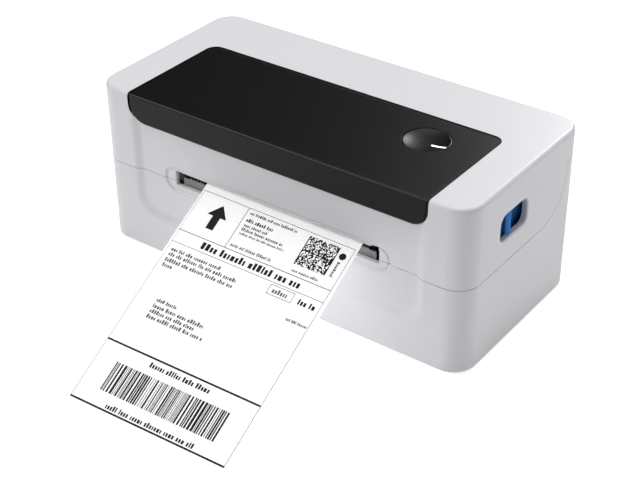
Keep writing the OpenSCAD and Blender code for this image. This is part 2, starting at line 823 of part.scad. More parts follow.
module cover_walls() difference() {
    intersection() {
        body_solid();
        extrude_x(-body_width, body_width) cover_side();
    }
    extrude_z(-1, ceiling_z) inner_outline();
}

// Stops and rails of the side latches
module latch_rails() mirrored() {
    box([102, -47, 61], [inner_x + 0.5, -45.4, 73]);
    box([104.4, -44, 78], [inner_x + 0.5, 4, 79.6]);
    box([108, -44, 54.6], [inner_x + 0.5, 4, 56.4]);
}

module cover_posts() {
    // posts of the print head carrier
    intersection() {
        tilted() at_carrier_holes(17.5) cylinder(r = 3.4, h = 30);
        box([-90, inner_front + 0.2, 40], [90, 40, ceiling_z + 0.5]);
    }
    // posts of the button board
    at_button_posts(79.3) cylinder(r = 2.2, h = ceiling_z - 79);
}

// Stiffening ribs under the top
module cover_ribs() {
    rib_bottom = ceiling_z - 4;
    rib_top = ceiling_z + 0.2;
    for (y = [12, 27, 40]) box([-108, y, rib_bottom], [108, y + 1.4, rib_top]);
    for (x = [-90:60:90]) box([x - 0.7, 12, rib_bottom], [x + 0.7, 50, rib_top]);
}

module knuckle_clearance() hinge_rod(barrel_radius + barrel_gap,
    knuckle_x[0] - 0.3, knuckle_x[1] + 0.3);

// Barrel with room for the knuckles and pins, hollowed toward the inside
module hinge_barrel() {
    hollow_bottom = [hinge_y - 6, hinge_z - 6];
    hollow_top = [hinge_y + 1.9, hinge_z + 6];
    difference() {
        intersection() {
            hinge_rod(barrel_radius, -beyond_x, beyond_x);
            extrude_z(60, 100)
                round_rect(-body_width/2, front_y, body_width/2, rear_y, corner_radius);
        }
        mirrored() {
            knuckle_clearance();
            hinge_rod(pin_radius + 0.05, 53.5, 78.5);
        }
        box(concat(-52, hollow_bottom), concat(52, hollow_top));
        mirrored() box(concat(80, hollow_bottom), concat(inner_x - 8, hollow_top));
    }
}

module cover_shell() color(white) lift() {
    pocket_x = panel_x + panel_fit;
    difference() {
        union() {
            cover_walls();
            latch_rails();
            cover_posts();
            cover_ribs();
        }
        front_cuts();
        // pocket of the black panel, on top and down the front
        extrude_z(panel_bottom, panel_bottom + 5) round_rect(-pocket_x, front_y - 20,
            pocket_x, panel_y + panel_fit, panel_corner + panel_fit);
        extrude_y(front_y - 5, recess_y)
            round_rect(-pocket_x, panel_z - panel_fit, pocket_x, 130, band_corner + panel_fit);
        button_hole();
        // side windows
        extrude_x(-beyond_x, beyond_x) round_rect(-24.6, 60, 0.7, 74.6, 4.5);
        // clearance round the two base knuckles
        mirrored() {
            knuckle_clearance();
            box([knuckle_x[0] - 0.3, hinge_y - 7.6, hinge_z - 10],
                [knuckle_x[1] + 0.3, hinge_y + 20, hinge_z]);
        }
    }
    hinge_barrel();
}

module top_panel() color(black) lift() difference() {
    union() {
        extrude_z(panel_bottom, body_height) {
            round_rect(-panel_x, front_y, panel_x, panel_y, panel_corner);
            // square front corners
            translate([-panel_x, front_y]) square([2 * panel_x, 12]);
        }
        // front band
        extrude_y(front_y, recess_y - 0.05) intersection() {
            round_rect(-panel_x, panel_z, panel_x, 130, band_corner);
            translate([-200, 0]) square([400, body_height]);
        }
    }
    button_hole();
}

// Bar let into the right half of the button's top
module light_block(height) at_button(body_height - 1.6) translate([3.4, -1.65, 0])
    cube([8, 1.3, height]);

module feed_button() color(black) lift() difference() {
    dish_radius = 60;
    union() {
        at_button(ceiling_z - 0.3) cylinder(r = button_radius, h = 3.9);
        // flange below the top wall, and stem above the switch
        at_button(ceiling_z - 1.4) cylinder(r = button_radius + 1.6, h = 1.2);
        at_button(83.6) cylinder(r = 2.6, h = 4);
    }
    // shallow dish
    at_button(body_height - 0.6 + dish_radius) sphere(r = dish_radius, $fn = 128);
    light_block(5);
}

module light_bar() color([0.95, 0.97, 1]) lift() light_block(1.5);

button_board_top = 79.2;

module button_board() color(board_green) lift() difference() {
    at_button() box([-17, -10, 78], [17, 16, button_board_top]);
    at_button_posts(77) cylinder(r = 1, h = 4);
}

module tact_switch() color(black) lift() at_button() {
    centred_box(3, 3, button_board_top, 81.8);
    translate([0, 0, 81.7]) cylinder(r = 1.75, h = 0.9);
}

// ---------- print head, in the tilted frame ----------
// Carrier that holds the head's pivot shaft and springs
module head_carrier() color(steel) lift() tilted() difference() {
    union() {
        box([-63, 4, carrier_bottom], [63, 27, 17.4]);
        mirrored() box([61.4, 17, pivot_above - 4], [63, 27, 16.5]);
    }
    mirrored() rod_x(pin_radius, 60, 64, pivot_along, pivot_above);
    at_carrier_holes(10) cylinder(r = 1.3, h = 10);
}

module head_pivot_shaft() color(steel) lift() tilted()
    rod_x(pin_radius, -63.6, 63.6, pivot_along, pivot_above);

module carrier_screws() color(steel) lift() tilted() at_carrier_holes(carrier_bottom)
    mirror([0, 0, 1]) machine_screw(screw_radius, 1.5, 2.4, 1.1);

module head_springs() color(steel) lift() tilted() at_each(both(30), [12], bracket_top + 0.05)
    coil(radius = 2.4, wire = 0.35, height = 7.5, turns = 5);

// Flat cable lying level under the cover's ribs
module head_cable() color([0.85, 0.86, 0.88]) lift()
    box([-14, -8, ceiling_z - 4.7], [14, 44, ceiling_z - 4.4]);

head_plate_x = 57;                    // half length of bracket plate and heat sink

module head_bracket() color(steel) lift() tilted() difference() {
    union() {
        box([-head_plate_x, -2, sink_top], [head_plate_x, 26, bracket_top]);
        // pivot ears and the tabs that join them
        mirrored() box([59.8, 20.4, 5], [61.2, 27, 14]);
        mirrored() box([56, 20.4, sink_top], [61.2, 26, bracket_top]);
    }
    mirrored() rod_x(pin_radius + 0.05, 59, 62, pivot_along, pivot_above);
}

module heat_sink() color([0.80, 0.81, 0.83]) lift() tilted() difference() {
    box([-head_plate_x, -5.4, 1.5], [head_plate_x, 17, sink_top]);
    // cooling channels in the rear part
    for (x = [-54:6:54]) box([x - 1.5, 6, -1], [x + 1.5, 20, 5]);
}

module print_head() color([0.86, 0.84, 0.80]) lift() tilted() {
    box([-platen_x, -5, 0.5], [platen_x, 6, 1.5]);
    // heater line
    intersection() {
        extrude_x(-platen_x + 1, platen_x - 1) translate([0, 2.25]) circle(2);
        box([-platen_x, -2, 0.1], [platen_x, 2, 0.8]);
    }
}

// ---------- side latches ----------
// Right-hand sliding latch
module latch_shape() {
    leg_x = [103.6, 107.65];
    hook_bottom = 33.6;
    slide_top = 77.6;
    difference() {
        union() {
            // slide, grip rib, leg and hook
            box([107.6, -33, 57], [109.9, 3.4, slide_top]);
            box([109.8, -16.3, 61.2], [111.9, -12.7, 73.4]);
            box([leg_x[0], -34, hook_bottom], [leg_x[1], -26, slide_top]);
            box([leg_x[0], -34, hook_bottom], [leg_x[1], -19, 44]);
        }
        // hook face, round about the hinge axis
        intersection() {
            hinge_rod(hook_radius, 100, 112);
            box([100, -60, 30], [112, 40, 44]);
        }
        box([100, -23, 30], [112, -17, 34.6]);
    }
}

module latch_right() color(blue) lift() latch_shape();
module latch_left() color(blue) lift() mirror([1, 0, 0]) latch_shape();

module latch_spring() translate([105.6, -45.3, 67]) rotate([-90, 0, 0])
    coil(radius = 1.7, wire = 0.3, height = 11.2, turns = 6);
module latch_spring_right() color(steel) lift() latch_spring();
module latch_spring_left() color(steel) lift() mirror([1, 0, 0]) latch_spring();

// ---------- label ----------
// Printed label hanging out of the slot
module label() color([0.98, 0.98, 0.98]) lift() tilted() {
    inner_end = 25;                   // end inside the slot, measured from the recess face
    outer_end = inner_end - label_length;
    translate([label_x, -(nip_y - recess_y) / cos(label_slope), 0])
        linear_extrude(label_thickness)
            // corners: side, place along the label
            polygon([for (corner = [[-1, inner_end], [-1, outer_end],
                                    [1, outer_end], [1, inner_end]])
                [corner[0] * label_width/2 - corner[1] * tan(label_skew), corner[1]]]);
}

base_housing();
base_plate();
rubber_feet();
bottom_screws();
media_deck();
deck_screws();
tear_bar();
side_plate_left();
side_plate_right();
platen_bushes();
stepper_motor();
motor_screws();
idler_post();
main_board();
processor_chip();
capacitors();
board_screws();
plate_screws();
dc_jack();
usb_port();
switch_housing();
gap_sensor();
cover_switch();
motor_cable();
hinge_pins();
catch_pins();
pinion_screw();
platen_rubber();
platen_shaft();
platen_gear();
idler_gear();
motor_pinion();
motor_shaft();
guide_left();
guide_right();
guide_pinion();
power_rocker();
cover_shell();
top_panel();
button_board();
tact_switch();
head_carrier();
head_pivot_shaft();
carrier_screws();
head_springs();
head_cable();
latch_spring_left();
latch_spring_right();
head_bracket();
heat_sink();
print_head();
latch_left();
latch_right();
feed_button();
light_bar();
label();
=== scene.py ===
"""Label printer with a hinged cover, a black panel, side latches and a printed label.

X runs across the width with +X on the right, -Y is the front, +Z is up. Pieces are built in
millimetres from the casing's underside; finish_piece scales them to metres and lifts them
by the height of the feet.
"""
import bpy
import bmesh
import json
import math
import random
from itertools import groupby
import numpy as np
from mathutils import Matrix, Vector

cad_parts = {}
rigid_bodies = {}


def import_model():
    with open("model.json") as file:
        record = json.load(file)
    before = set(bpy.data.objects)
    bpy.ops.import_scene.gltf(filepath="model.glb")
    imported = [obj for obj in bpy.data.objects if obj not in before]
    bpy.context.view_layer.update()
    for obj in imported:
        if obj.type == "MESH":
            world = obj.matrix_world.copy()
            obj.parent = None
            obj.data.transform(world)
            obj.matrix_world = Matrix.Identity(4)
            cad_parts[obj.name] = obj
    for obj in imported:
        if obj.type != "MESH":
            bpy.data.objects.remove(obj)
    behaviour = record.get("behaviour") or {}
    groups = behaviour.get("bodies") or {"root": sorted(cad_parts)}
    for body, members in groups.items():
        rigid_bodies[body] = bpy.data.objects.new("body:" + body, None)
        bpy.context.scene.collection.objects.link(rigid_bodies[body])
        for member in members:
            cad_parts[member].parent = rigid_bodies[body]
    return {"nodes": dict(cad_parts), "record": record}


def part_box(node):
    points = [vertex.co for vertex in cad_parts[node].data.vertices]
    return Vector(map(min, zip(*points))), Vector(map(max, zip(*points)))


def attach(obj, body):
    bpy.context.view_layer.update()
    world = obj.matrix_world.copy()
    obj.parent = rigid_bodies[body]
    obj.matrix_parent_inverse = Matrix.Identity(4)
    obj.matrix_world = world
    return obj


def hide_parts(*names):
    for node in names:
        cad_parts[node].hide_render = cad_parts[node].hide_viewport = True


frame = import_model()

scene = bpy.context.scene
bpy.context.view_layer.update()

# ---------------------------------------------------------------- sizes from the frame, in mm
base_low, base_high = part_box("base_housing")
cover_low, cover_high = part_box("cover_shell")
panel_low, panel_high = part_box("top_panel")
button_low, button_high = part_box("feed_button")
FOOT = base_low.z * 1000
WIDTH = (cover_high.x - cover_low.x) * 1000
DEPTH = (base_high.y - base_low.y) * 1000
HEIGHT = cover_high.z * 1000 - FOOT
PANEL_X = panel_high.x * 1000
PANEL_Y = panel_high.y * 1000           # rear edge of the panel
PANEL_Z = panel_low.z * 1000 - FOOT     # lower edge of its front fold
BUTTON_X = (button_low.x + button_high.x) * 500
BUTTON_Y = (button_low.y + button_high.y) * 500

# ---------------------------------------------------------------- shared casing sizes, in mm
CORNER = 12.5                           # upright corners
TOP_ROUND = 2.2
WALL = 2.2
FRONT, REAR = -DEPTH / 2, DEPTH / 2
IN_FRONT, IN_REAR, IN_SIDE = FRONT + 4.8, REAR - 2.3, WIDTH / 2 - WALL
CEILING = HEIGHT - 3.6
RECESS = 2.0                            # depth of the hollow in the front face
SPLIT = 47.5                            # parting line at the front
PART_GAP = 0.25
SWEEP_Y, SWEEP_R = 16, 23               # large curve where the parting line rises
SHOULDER_Y, SHOULDER_R = 43, 4
HINGE_R = 4.25
HINGE_Y, HINGE_Z = REAR - HINGE_R, 76.0
BARREL_R = HINGE_R + 0.4                # clearance round the knuckles
BARREL_FLOOR = HINGE_Z - HINGE_R - 0.45
SHOULDER_Z = HINGE_Z - SHOULDER_R
BASE_KNUCKLE = (60, 72)                 # x range on each side
NOTCH = (59.7, 72.3)
COVER_KNUCKLES = ((52, NOTCH[0]), (NOTCH[1], 80))
SLOT_X, SLOT_Z0, SLOT_Z1 = 63.0, 45.0, 53.0
WINDOW, WINDOW_R = (-24.6, 60, 0.7, 74.6), 4.5  # finger opening: y0, z0, y1, z1 and corner
PANEL_THICK = 1.6
PANEL_R, PANEL_FRONT_R = 6, 9.85        # panel corners on the top and on the front
HOLE_R = 12.3                           # hole for the button
LABEL_SLOPE = math.radians(24)
SLOPE_RUN = 11.75                       # from the slot to the slope's origin, along y
TILT = (Matrix.Translation((0, -40, 51.4 + SLOPE_RUN * math.tan(LABEL_SLOPE)))
        @ Matrix.Rotation(LABEL_SLOPE, 4, "X"))


# ---------------------------------------------------------------- outlines and solids
def arc(cx, cy, radius, start, end, steps):
    angles = [math.radians(start + (end - start) * i / steps) for i in range(steps + 1)]
    return [(cx + radius * math.cos(a), cy + radius * math.sin(a)) for a in angles]


def rounded_rect(rect, corner, steps=10, grow=0.0):
    x0, y0, x1, y1 = rect
    x0, y0, x1, y1 = x0 - grow, y0 - grow, x1 + grow, y1 + grow
    r = max(corner + grow, 0.05)
    points = []
    for cx, cy, start in ((x1 - r, y0 + r, -90), (x1 - r, y1 - r, 0),
                          (x0 + r, y1 - r, 90), (x0 + r, y0 + r, 180)):
        points += arc(cx, cy, r, start, start + 90, steps)
    return points


def place(points, depth, plane):
    """Outline points to 3D, with depth along the axis the plane leaves out."""
    order = {"xy": (0, 1, 2), "xz": (0, 2, 1), "yz": (2, 0, 1)}[plane]
    return [tuple((a, b, depth)[k] for k in order) for a, b in points]


def link(bm):
    bmesh.ops.recalc_face_normals(bm, faces=bm.faces)
    mesh = bpy.data.meshes.new("piece")
    bm.to_mesh(mesh)
    bm.free()
    piece = bpy.data.objects.new("piece", mesh)
    scene.collection.objects.link(piece)
    return piece


def loft(rings):
    """Closed tube through rings of equal length, with flat caps."""
    bm = bmesh.new()
    verts = [[bm.verts.new(p) for p in ring] for ring in rings]
    count = len(verts[0])
    for a, b in zip(verts, verts[1:]):
        for i in range(count):
            j = (i + 1) % count
            bm.faces.new((a[i], a[j], b[j], b[i]))
    bm.faces.new(list(reversed(verts[0])))
    bm.faces.new(verts[-1])
    return link(bm)


def prism(points, start, end, plane):
    return loft([place(points, start, plane), place(points, end, plane)])


def rounded_loft(rect, corner, plane, stations, steps=10):
    """Rounded rectangle through stations of (depth, outward offset)."""
    return loft([place(rounded_rect(rect, corner, steps, grow), depth, plane)
                 for depth, grow in stations])


def rounded_prism(rect, corner, start, end, plane, steps=10):
    return prism(rounded_rect(rect, corner, steps), start, end, plane)


def box(low, high):
    (x0, y0, z0), (x1, y1, z1) = low, high
    return prism([(x0, y0), (x1, y0), (x1, y1), (x0, y1)], z0, z1, "xy")


def cylinder(radius, start, end, cx, cy, plane, steps=48):
    return prism(arc(cx, cy, radius, 0, 360 - 360 / steps, steps - 1), start, end, plane)


def side_box(side, low, high):
    """Box given for the right side; side -1 puts it on the left."""
    x0, x1 = sorted((side * low[0], side * high[0]))
    return box((x0, *low[1:]), (x1, *high[1:]))


def hinge_cylinder(side, radius, x0, x1, steps=48):
    x0, x1 = sorted((side * x0, side * x1))
    return cylinder(radius, x0, x1, HINGE_Y, HINGE_Z, "yz", steps)


def button_hole():
    return cylinder(HOLE_R, 80, 100, BUTTON_X, BUTTON_Y, "xy", 72)


# ---------------------------------------------------------------- mesh operations
def apply_modifiers(piece):
    depsgraph = bpy.context.evaluated_depsgraph_get()
    depsgraph.update()
    mesh = bpy.data.meshes.new_from_object(piece.evaluated_get(depsgraph))
    piece.modifiers.clear()
    old = piece.data
    piece.data = mesh
    bpy.data.meshes.remove(old)


def boolean(piece, operation, tools):
    for tool in tools:
        mod = piece.modifiers.new("boolean", "BOOLEAN")
        mod.operation, mod.solver, mod.object = operation, "EXACT", tool
        apply_modifiers(piece)
        mesh = tool.data
        bpy.data.objects.remove(tool)
        bpy.data.meshes.remove(mesh)


def cut(piece, *tools):
    boolean(piece, "DIFFERENCE", tools)


def add(piece, *tools):
    boolean(piece, "UNION", tools)


def intersect(piece, *tools):
    boolean(piece, "INTERSECT", tools)


def bevel(piece, width, angle, segments):
    mod = piece.modifiers.new("bevel", "BEVEL")
    mod.width, mod.segments, mod.limit_method = width, segments, "ANGLE"
    mod.angle_limit = math.radians(angle)
    mod.harden_normals = False
    apply_modifiers(piece)


def tidy(piece, angle=32):
    """Merge doubles, shade smooth and mark edges sharper than the angle."""
    merge = 0.004
    limit = math.radians(angle)
    bm = bmesh.new()
    bm.from_mesh(piece.data)
    bmesh.ops.remove_doubles(bm, verts=bm.verts, dist=merge)
    bmesh.ops.dissolve_degenerate(bm, edges=bm.edges, dist=merge)
    loose = [v for v in bm.verts if not v.link_faces]
    bmesh.ops.delete(bm, geom=loose, context="VERTS")
    for face in bm.faces:
        face.smooth = True
    for edge in bm.edges:
        edge.smooth = len(edge.link_faces) == 2 and edge.calc_face_angle(0) <= limit
    bm.to_mesh(piece.data)
    bm.free()


def weight_normals(piece):
    mod = piece.modifiers.new("wn", "WEIGHTED_NORMAL")
    mod.keep_sharp = True
    mod.weight = 60


def finish_piece(piece, name, body, materials, replaced=(), pick=None):
    """Materials, scale and frame data; pick gives a face's material index, judged in mm."""
    piece.name = name
    piece.data.name = name
    piece.data.materials.clear()
    for key in materials:
        piece.data.materials.append(MAT[key])
    if pick:
        for face in piece.data.polygons:
            face.material_index = int(pick(face.normal, face.center))
    piece.data.transform(Matrix.Translation((0, 0, FOOT / 1000)) @ Matrix.Scale(0.001, 4))
    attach(piece, body)
    if replaced:
        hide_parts(*replaced)


# ---------------------------------------------------------------- materials
def material(name, color, rough=0.5, metal=0.0, spec=0.5, grain=0.0, grain_size=0.35, var=0.03,
             rough_var=0.06, edge=0.25, emit=None, emit_strength=0.0, stretch=None, patch=25.0):
    """Plastic, metal or paper with fine grain and broad tone changes.

    grain is the bump strength; grain_size, patch (size of the tone patches) and edge
    (radius of the shaded edge round) are in mm; var and rough_var are the spread of tone and
    roughness; stretch scales the grain per axis.
    """
    mat = bpy.data.materials.new(name)
    mat.use_nodes = True
    tree = mat.node_tree
    tree.nodes.clear()
    new, join = tree.nodes.new, tree.links.new
    output = new("ShaderNodeOutputMaterial")
    bsdf = new("ShaderNodeBsdfPrincipled")
    join(bsdf.outputs["BSDF"], output.inputs["Surface"])
    coords = new("ShaderNodeTexCoord")
    mapping = new("ShaderNodeMapping")
    join(coords.outputs["Object"], mapping.inputs["Vector"])
    if stretch:
        mapping.inputs["Scale"].default_value = stretch
    fine = new("ShaderNodeTexNoise")
    fine.inputs["Scale"].default_value = 1000.0 / grain_size
    fine.inputs["Detail"].default_value = 3
    join(mapping.outputs["Vector"], fine.inputs["Vector"])
    broad = new("ShaderNodeTexNoise")
    broad.inputs["Scale"].default_value = 1000.0 / patch
    broad.inputs["Detail"].default_value = 2
    join(coords.outputs["Object"], broad.inputs["Vector"])
    mix = new("ShaderNodeMix")
    mix.data_type = "RGBA"
    join(broad.outputs["Fac"], mix.inputs["Factor"])
    # sockets 6 and 7 are the colours A and B, output 2 the mixed colour
    mix.inputs[6].default_value = [max(0, c * (1 - var)) for c in color] + [1]
    mix.inputs[7].default_value = [min(1, c * (1 + var)) for c in color] + [1]
    join(mix.outputs[2], bsdf.inputs["Base Color"])
    spread = new("ShaderNodeMapRange")
    spread.inputs["To Min"].default_value = max(0.02, rough - rough_var)
    spread.inputs["To Max"].default_value = min(1, rough + rough_var)
    join(fine.outputs["Fac"], spread.inputs["Value"])
    join(spread.outputs["Result"], bsdf.inputs["Roughness"])
    bsdf.inputs["Metallic"].default_value = metal
    bsdf.inputs["Specular IOR Level"].default_value = spec
    normal = None
    if edge:
        edge_round = new("ShaderNodeBevel")
        edge_round.samples = 4
        edge_round.inputs["Radius"].default_value = edge / 1000
        normal = edge_round.outputs["Normal"]
    if grain:
        bump = new("ShaderNodeBump")
        bump.inputs["Strength"].default_value = grain
        bump.inputs["Distance"].default_value = 0.00008
        join(fine.outputs["Fac"], bump.inputs["Height"])
        if normal:
            join(normal, bump.inputs["Normal"])
        normal = bump.outputs["Normal"]
    if normal:
        join(normal, bsdf.inputs["Normal"])
    if emit:
        bsdf.inputs["Emission Color"].default_value = list(emit) + [1]
        bsdf.inputs["Emission Strength"].default_value = emit_strength
    mat.diffuse_color = list(color) + [1]
    return mat


def split_glow(mat, camera, other):
    """Drive the emission strength: one value for camera rays, another for all other rays."""
    tree = mat.node_tree
    bsdf = next(n for n in tree.nodes if n.type == "BSDF_PRINCIPLED")
    rays = tree.nodes.new("ShaderNodeLightPath")
    strength = tree.nodes.new("ShaderNodeMapRange")
    strength.inputs["To Min"].default_value = other
    strength.inputs["To Max"].default_value = camera
    tree.links.new(rays.outputs["Is Camera Ray"], strength.inputs["Value"])
    tree.links.new(strength.outputs["Result"], bsdf.inputs["Emission Strength"])


MATERIALS = {
    "white_shell": dict(color=(0.72, 0.72, 0.745), rough=0.33, grain=0.25, grain_size=0.45,
                        var=0.008, edge=0.35, patch=60),
    "black_panel": dict(color=(0.0045, 0.0045, 0.005), rough=0.34, spec=0.30, grain=0.18,
                        grain_size=0.3, var=0.05, rough_var=0.05, edge=0.3),
    "dark_plastic": dict(color=(0.035, 0.035, 0.038), rough=0.55, grain=0.6, grain_size=0.5,
                         var=0.08),
    "blue_plastic": dict(color=(0.004, 0.075, 0.26), rough=0.34, spec=0.16, grain=0.15,
                         var=0.06, edge=0.35),
    "foot_rubber": dict(color=(0.022, 0.022, 0.022), rough=0.85, grain=0.8, grain_size=0.6,
                        var=0.12, edge=0.3),
    "roller_rubber": dict(color=(0.060, 0.060, 0.063), rough=0.72, grain=0.5, grain_size=0.25,
                          var=0.1, edge=0.2, stretch=(0.3, 1, 1)),
    "steel": dict(color=(0.60, 0.61, 0.63), rough=0.30, metal=1.0, grain=0.12, grain_size=0.25,
                  var=0.05, rough_var=0.12, edge=0.2, stretch=(0.06, 1, 1)),
    # steel darkened and dulled for the tear bar inside the slot: painted shade
    "tear_steel_painted_shade": dict(color=(0.24, 0.24, 0.245), metal=0.35, grain=0.15, grain_size=0.25,
                       var=0.06, rough_var=0.12, stretch=(0.06, 1, 1)),
    "aluminium": dict(color=(0.74, 0.75, 0.77), rough=0.34, metal=1.0, grain=0.12,
                      grain_size=0.3, var=0.04, rough_var=0.1, edge=0.2, stretch=(0.1, 1, 1)),
    "motor_black": dict(color=(0.03, 0.03, 0.032), rough=0.42, grain=0.3, var=0.1, edge=0.3),
    "gear_plastic": dict(color=(0.78, 0.78, 0.74), rough=0.45, grain=0.2, edge=0.12),
    "brass": dict(color=(0.72, 0.52, 0.22), rough=0.3, metal=1.0, grain=0.1, var=0.06, edge=0.1),
    "bush_plastic": dict(color=(0.62, 0.52, 0.28), grain=0.2, var=0.05, edge=0.2),
    "ceramic_head": dict(color=(0.62, 0.60, 0.54), rough=0.22, spec=0.6, grain=0.05, var=0.04,
                         edge=0.15),
    "board_green": dict(color=(0.010, 0.12, 0.045), rough=0.35, grain=0.3, grain_size=0.9,
                        var=0.25, edge=0.1, patch=2.5),
    "capacitor_sleeve": dict(color=(0.03, 0.035, 0.09), rough=0.28, var=0.06, edge=0.3),
    "cable_black": dict(color=(0.02, 0.02, 0.02), rough=0.6, grain=0.3, var=0.1, edge=0.1),
    "ribbon": dict(color=(0.66, 0.68, 0.70), grain=0.5, grain_size=1.0, var=0.04, edge=0.05,
                   stretch=(1, 0.02, 1)),
    "light_pipe": dict(color=(0.9, 0.92, 0.95), rough=0.2, var=0.01, edge=0.1,
                       emit=(0.95, 0.98, 1.0), emit_strength=2.2),
    # the paper glows a little: painted light that brightens it
    "label_paper": dict(color=(0.93, 0.93, 0.935), rough=0.62, spec=0.35, grain=0.25,
                        grain_size=0.25, var=0.006, edge=0.0, emit=(1, 1, 1),
                        emit_strength=0.17),
    # lighter copy of the blue plastic for the rib's outer faces: painted highlight
    "blue_rib_painted_highlight": dict(color=(0.02, 0.24, 0.72), rough=0.30, spec=0.30, grain=0.15, var=0.05,
                     edge=0.3),
    # slightly darker, less glossy copy of the black panel for the front fold: painted shade
    "panel_band_painted_shade": dict(color=(0.0036, 0.0036, 0.004), rough=0.36, spec=0.21, grain=0.18,
                       grain_size=0.3, var=0.05, edge=0.2),
    # darker, duller copy of the black panel: painted shade on the panel's sloped border and on
    # the white walls of its pocket
    "panel_edge_painted_shade": dict(color=(0.0035, 0.0035, 0.0038), rough=0.55, spec=0.12, grain=0.3,
                       grain_size=0.3, var=0.1, edge=0.1),
    "label_ink": dict(color=(0.012, 0.012, 0.013), rough=0.7, spec=0.2, grain=0.2,
                      grain_size=0.2, var=0.2, edge=0.0),
    "label_ink_soft": dict(color=(0.13, 0.13, 0.135), rough=0.7, spec=0.2, grain=0.2,
                           grain_size=0.2, var=0.2, edge=0.0),
}
MAT = {name: material(name, **look) for name, look in MATERIALS.items()}
# painted light: the label paper glows for camera rays only
split_glow(MAT["label_paper"], camera=0.25, other=0.0)


def paint_frame_nodes():
    """CAD nodes take their slot's material, except the tear bar, which takes a darker, duller
    steel as painted shade.
    """
    slots = {part["node"]: part["material_slot"] for part in frame["record"]["subparts"]}
    for name, node in frame["nodes"].items():
        node.data.materials.clear()
        node.data.materials.append(MAT["tear_steel_painted_shade" if name == "tear_bar" else slots[name]])


# ---------------------------------------------------------------- casing
def recess_depth(x, z):
    """Depth of the soft hollow in the front face: flat inside, blended over its border."""
    corner, half_width, bottom, blend = 13.0, 89.8, 20.0, 5.5
    cx, cz = half_width - corner, bottom + corner
    if z < cz and abs(x) > cx:
        inside = corner - math.hypot(abs(x) - cx, z - cz)
    else:
        inside = min(half_width - abs(x), z - bottom)
    t = max(0.0, min(1.0, inside / blend))
    return RECESS * (t * t * (3 - 2 * t))


def outer_volume():
    """Solid casing, with finer spacing where the front hollow blends."""
    cx, cy = WIDTH / 2 - CORNER, DEPTH / 2 - CORNER
    path = []                           # plan outline: x, y and outward normal

    def turn(side_x, side_y, start):
        for a in np.linspace(start, start + 90, 17)[1:-1]:
            c, s = math.cos(math.radians(a)), math.sin(math.radians(a))
            path.append((side_x * cx + CORNER * c, side_y * cy + CORNER * s, c, s))

    front_xs = [-cx, *np.arange(-99, -60, 1.0), *np.arange(-60, 60.1, 2.5),
                *np.arange(61, 99.5, 1.0), cx]
    side_ys = list(np.linspace(-cy, cy, 14))
    path += [(x, FRONT, 0, -1) for x in front_xs]
    turn(1, -1, -90)
    path += [(WIDTH / 2, y, 1, 0) for y in side_ys]
    turn(1, 1, 0)
    path += [(x, REAR, 0, 1) for x in np.linspace(cx, -cx, 30)]
    turn(-1, 1, 90)
    path += [(-WIDTH / 2, y, -1, 0) for y in reversed(side_ys)]
    turn(-1, -1, 180)

    levels = [(0.0, 0.7), (0.2, 0.2), (0.7, 0.0)]   # z and inset; small round at the bottom
    levels += [(z, 0.0) for z in (*np.arange(3, 17.9, 3.0), *np.arange(18, 46.1, 1.0),
                                  *np.arange(47, HEIGHT - TOP_ROUND - 1, 3.0))]
    for a in np.linspace(0, 90, 8):
        levels.append((HEIGHT - TOP_ROUND + TOP_ROUND * math.sin(math.radians(a)),
                       TOP_ROUND * (1 - math.cos(math.radians(a)))))
    return loft([[(x - nx * inset, y - ny * inset + (recess_depth(x, z) if ny == -1 else 0.0), z)
                  for x, y, nx, ny in path] for z, inset in levels])


def cut_front_slot(casing):
    """Sunk collar with a fine groove along its edge, then the slot itself."""
    face = FRONT + RECESS
    collar = (-SLOT_X - 7.0, 41.3, SLOT_X + 7.0, 55.3)

    def collar_tool(stations):
        return rounded_loft(collar, 6.9, "xz", [(face + dy, grow) for dy, grow in stations], 16)

    cut(casing, collar_tool([(-3.2, 1.0), (-0.3, 1.0), (-0.05, 0.6), (0.15, 0.25), (0.4, 0.0)]))
    groove = collar_tool([(-0.2, 0.1), (0.4, 0.1), (0.85, -0.35), (1.0, -0.7)])
    cut(groove, collar_tool([(-1.0, -2.1), (0.39, -2.1), (0.75, -1.5), (1.1, -1.1)]))
    cut(casing, groove)
    floor_y = face + 0.4
    cut(casing, rounded_loft((-SLOT_X, SLOT_Z0, SLOT_X, SLOT_Z1), 1.0, "xz", [
        (floor_y - 3, 0.45), (floor_y - 0.02, 0.45), (floor_y + 0.3, 0.12),
        (floor_y + 0.6, 0.0), (IN_FRONT + 2, 0.0)], 5))


def hollow(top):
    return rounded_prism((-IN_SIDE, IN_FRONT, IN_SIDE, IN_REAR), CORNER - WALL, -5, top, "xy")


def cover_outline():
    """Side view of the cover's share of the casing, as (y, z)."""
    return [
        (-80, SPLIT), (SWEEP_Y, SPLIT),
        *arc(SWEEP_Y, SPLIT + SWEEP_R, SWEEP_R, -90, 0, 24)[1:],
        (SWEEP_Y + SWEEP_R, SHOULDER_Z),
        *arc(SHOULDER_Y, SHOULDER_Z, SHOULDER_R, 180, 90, 8)[1:],
        (HINGE_Y - HINGE_R, HINGE_Z),
        *arc(HINGE_Y, HINGE_Z, HINGE_R, 180, 360, 24)[1:],
        (80, HINGE_Z), (80, 130), (-80, 130)]


def base_outline():
    """Side view of the base, kept PART_GAP below the cover, as (y, z)."""
    gap = PART_GAP
    return [
        (-80, -6), (80, -6), (80, BARREL_FLOOR), (HINGE_Y, BARREL_FLOOR),
        *arc(HINGE_Y, HINGE_Z, BARREL_R, 270, 183, 12)[1:],
        (HINGE_Y - BARREL_R, HINGE_Z - gap), (SHOULDER_Y, HINGE_Z - gap),
        *arc(SHOULDER_Y, SHOULDER_Z, SHOULDER_R - gap, 90, 180, 8)[1:],
        *arc(SWEEP_Y, SPLIT + SWEEP_R, SWEEP_R + gap, 0, -90, 24),
        (-80, SPLIT - gap)]


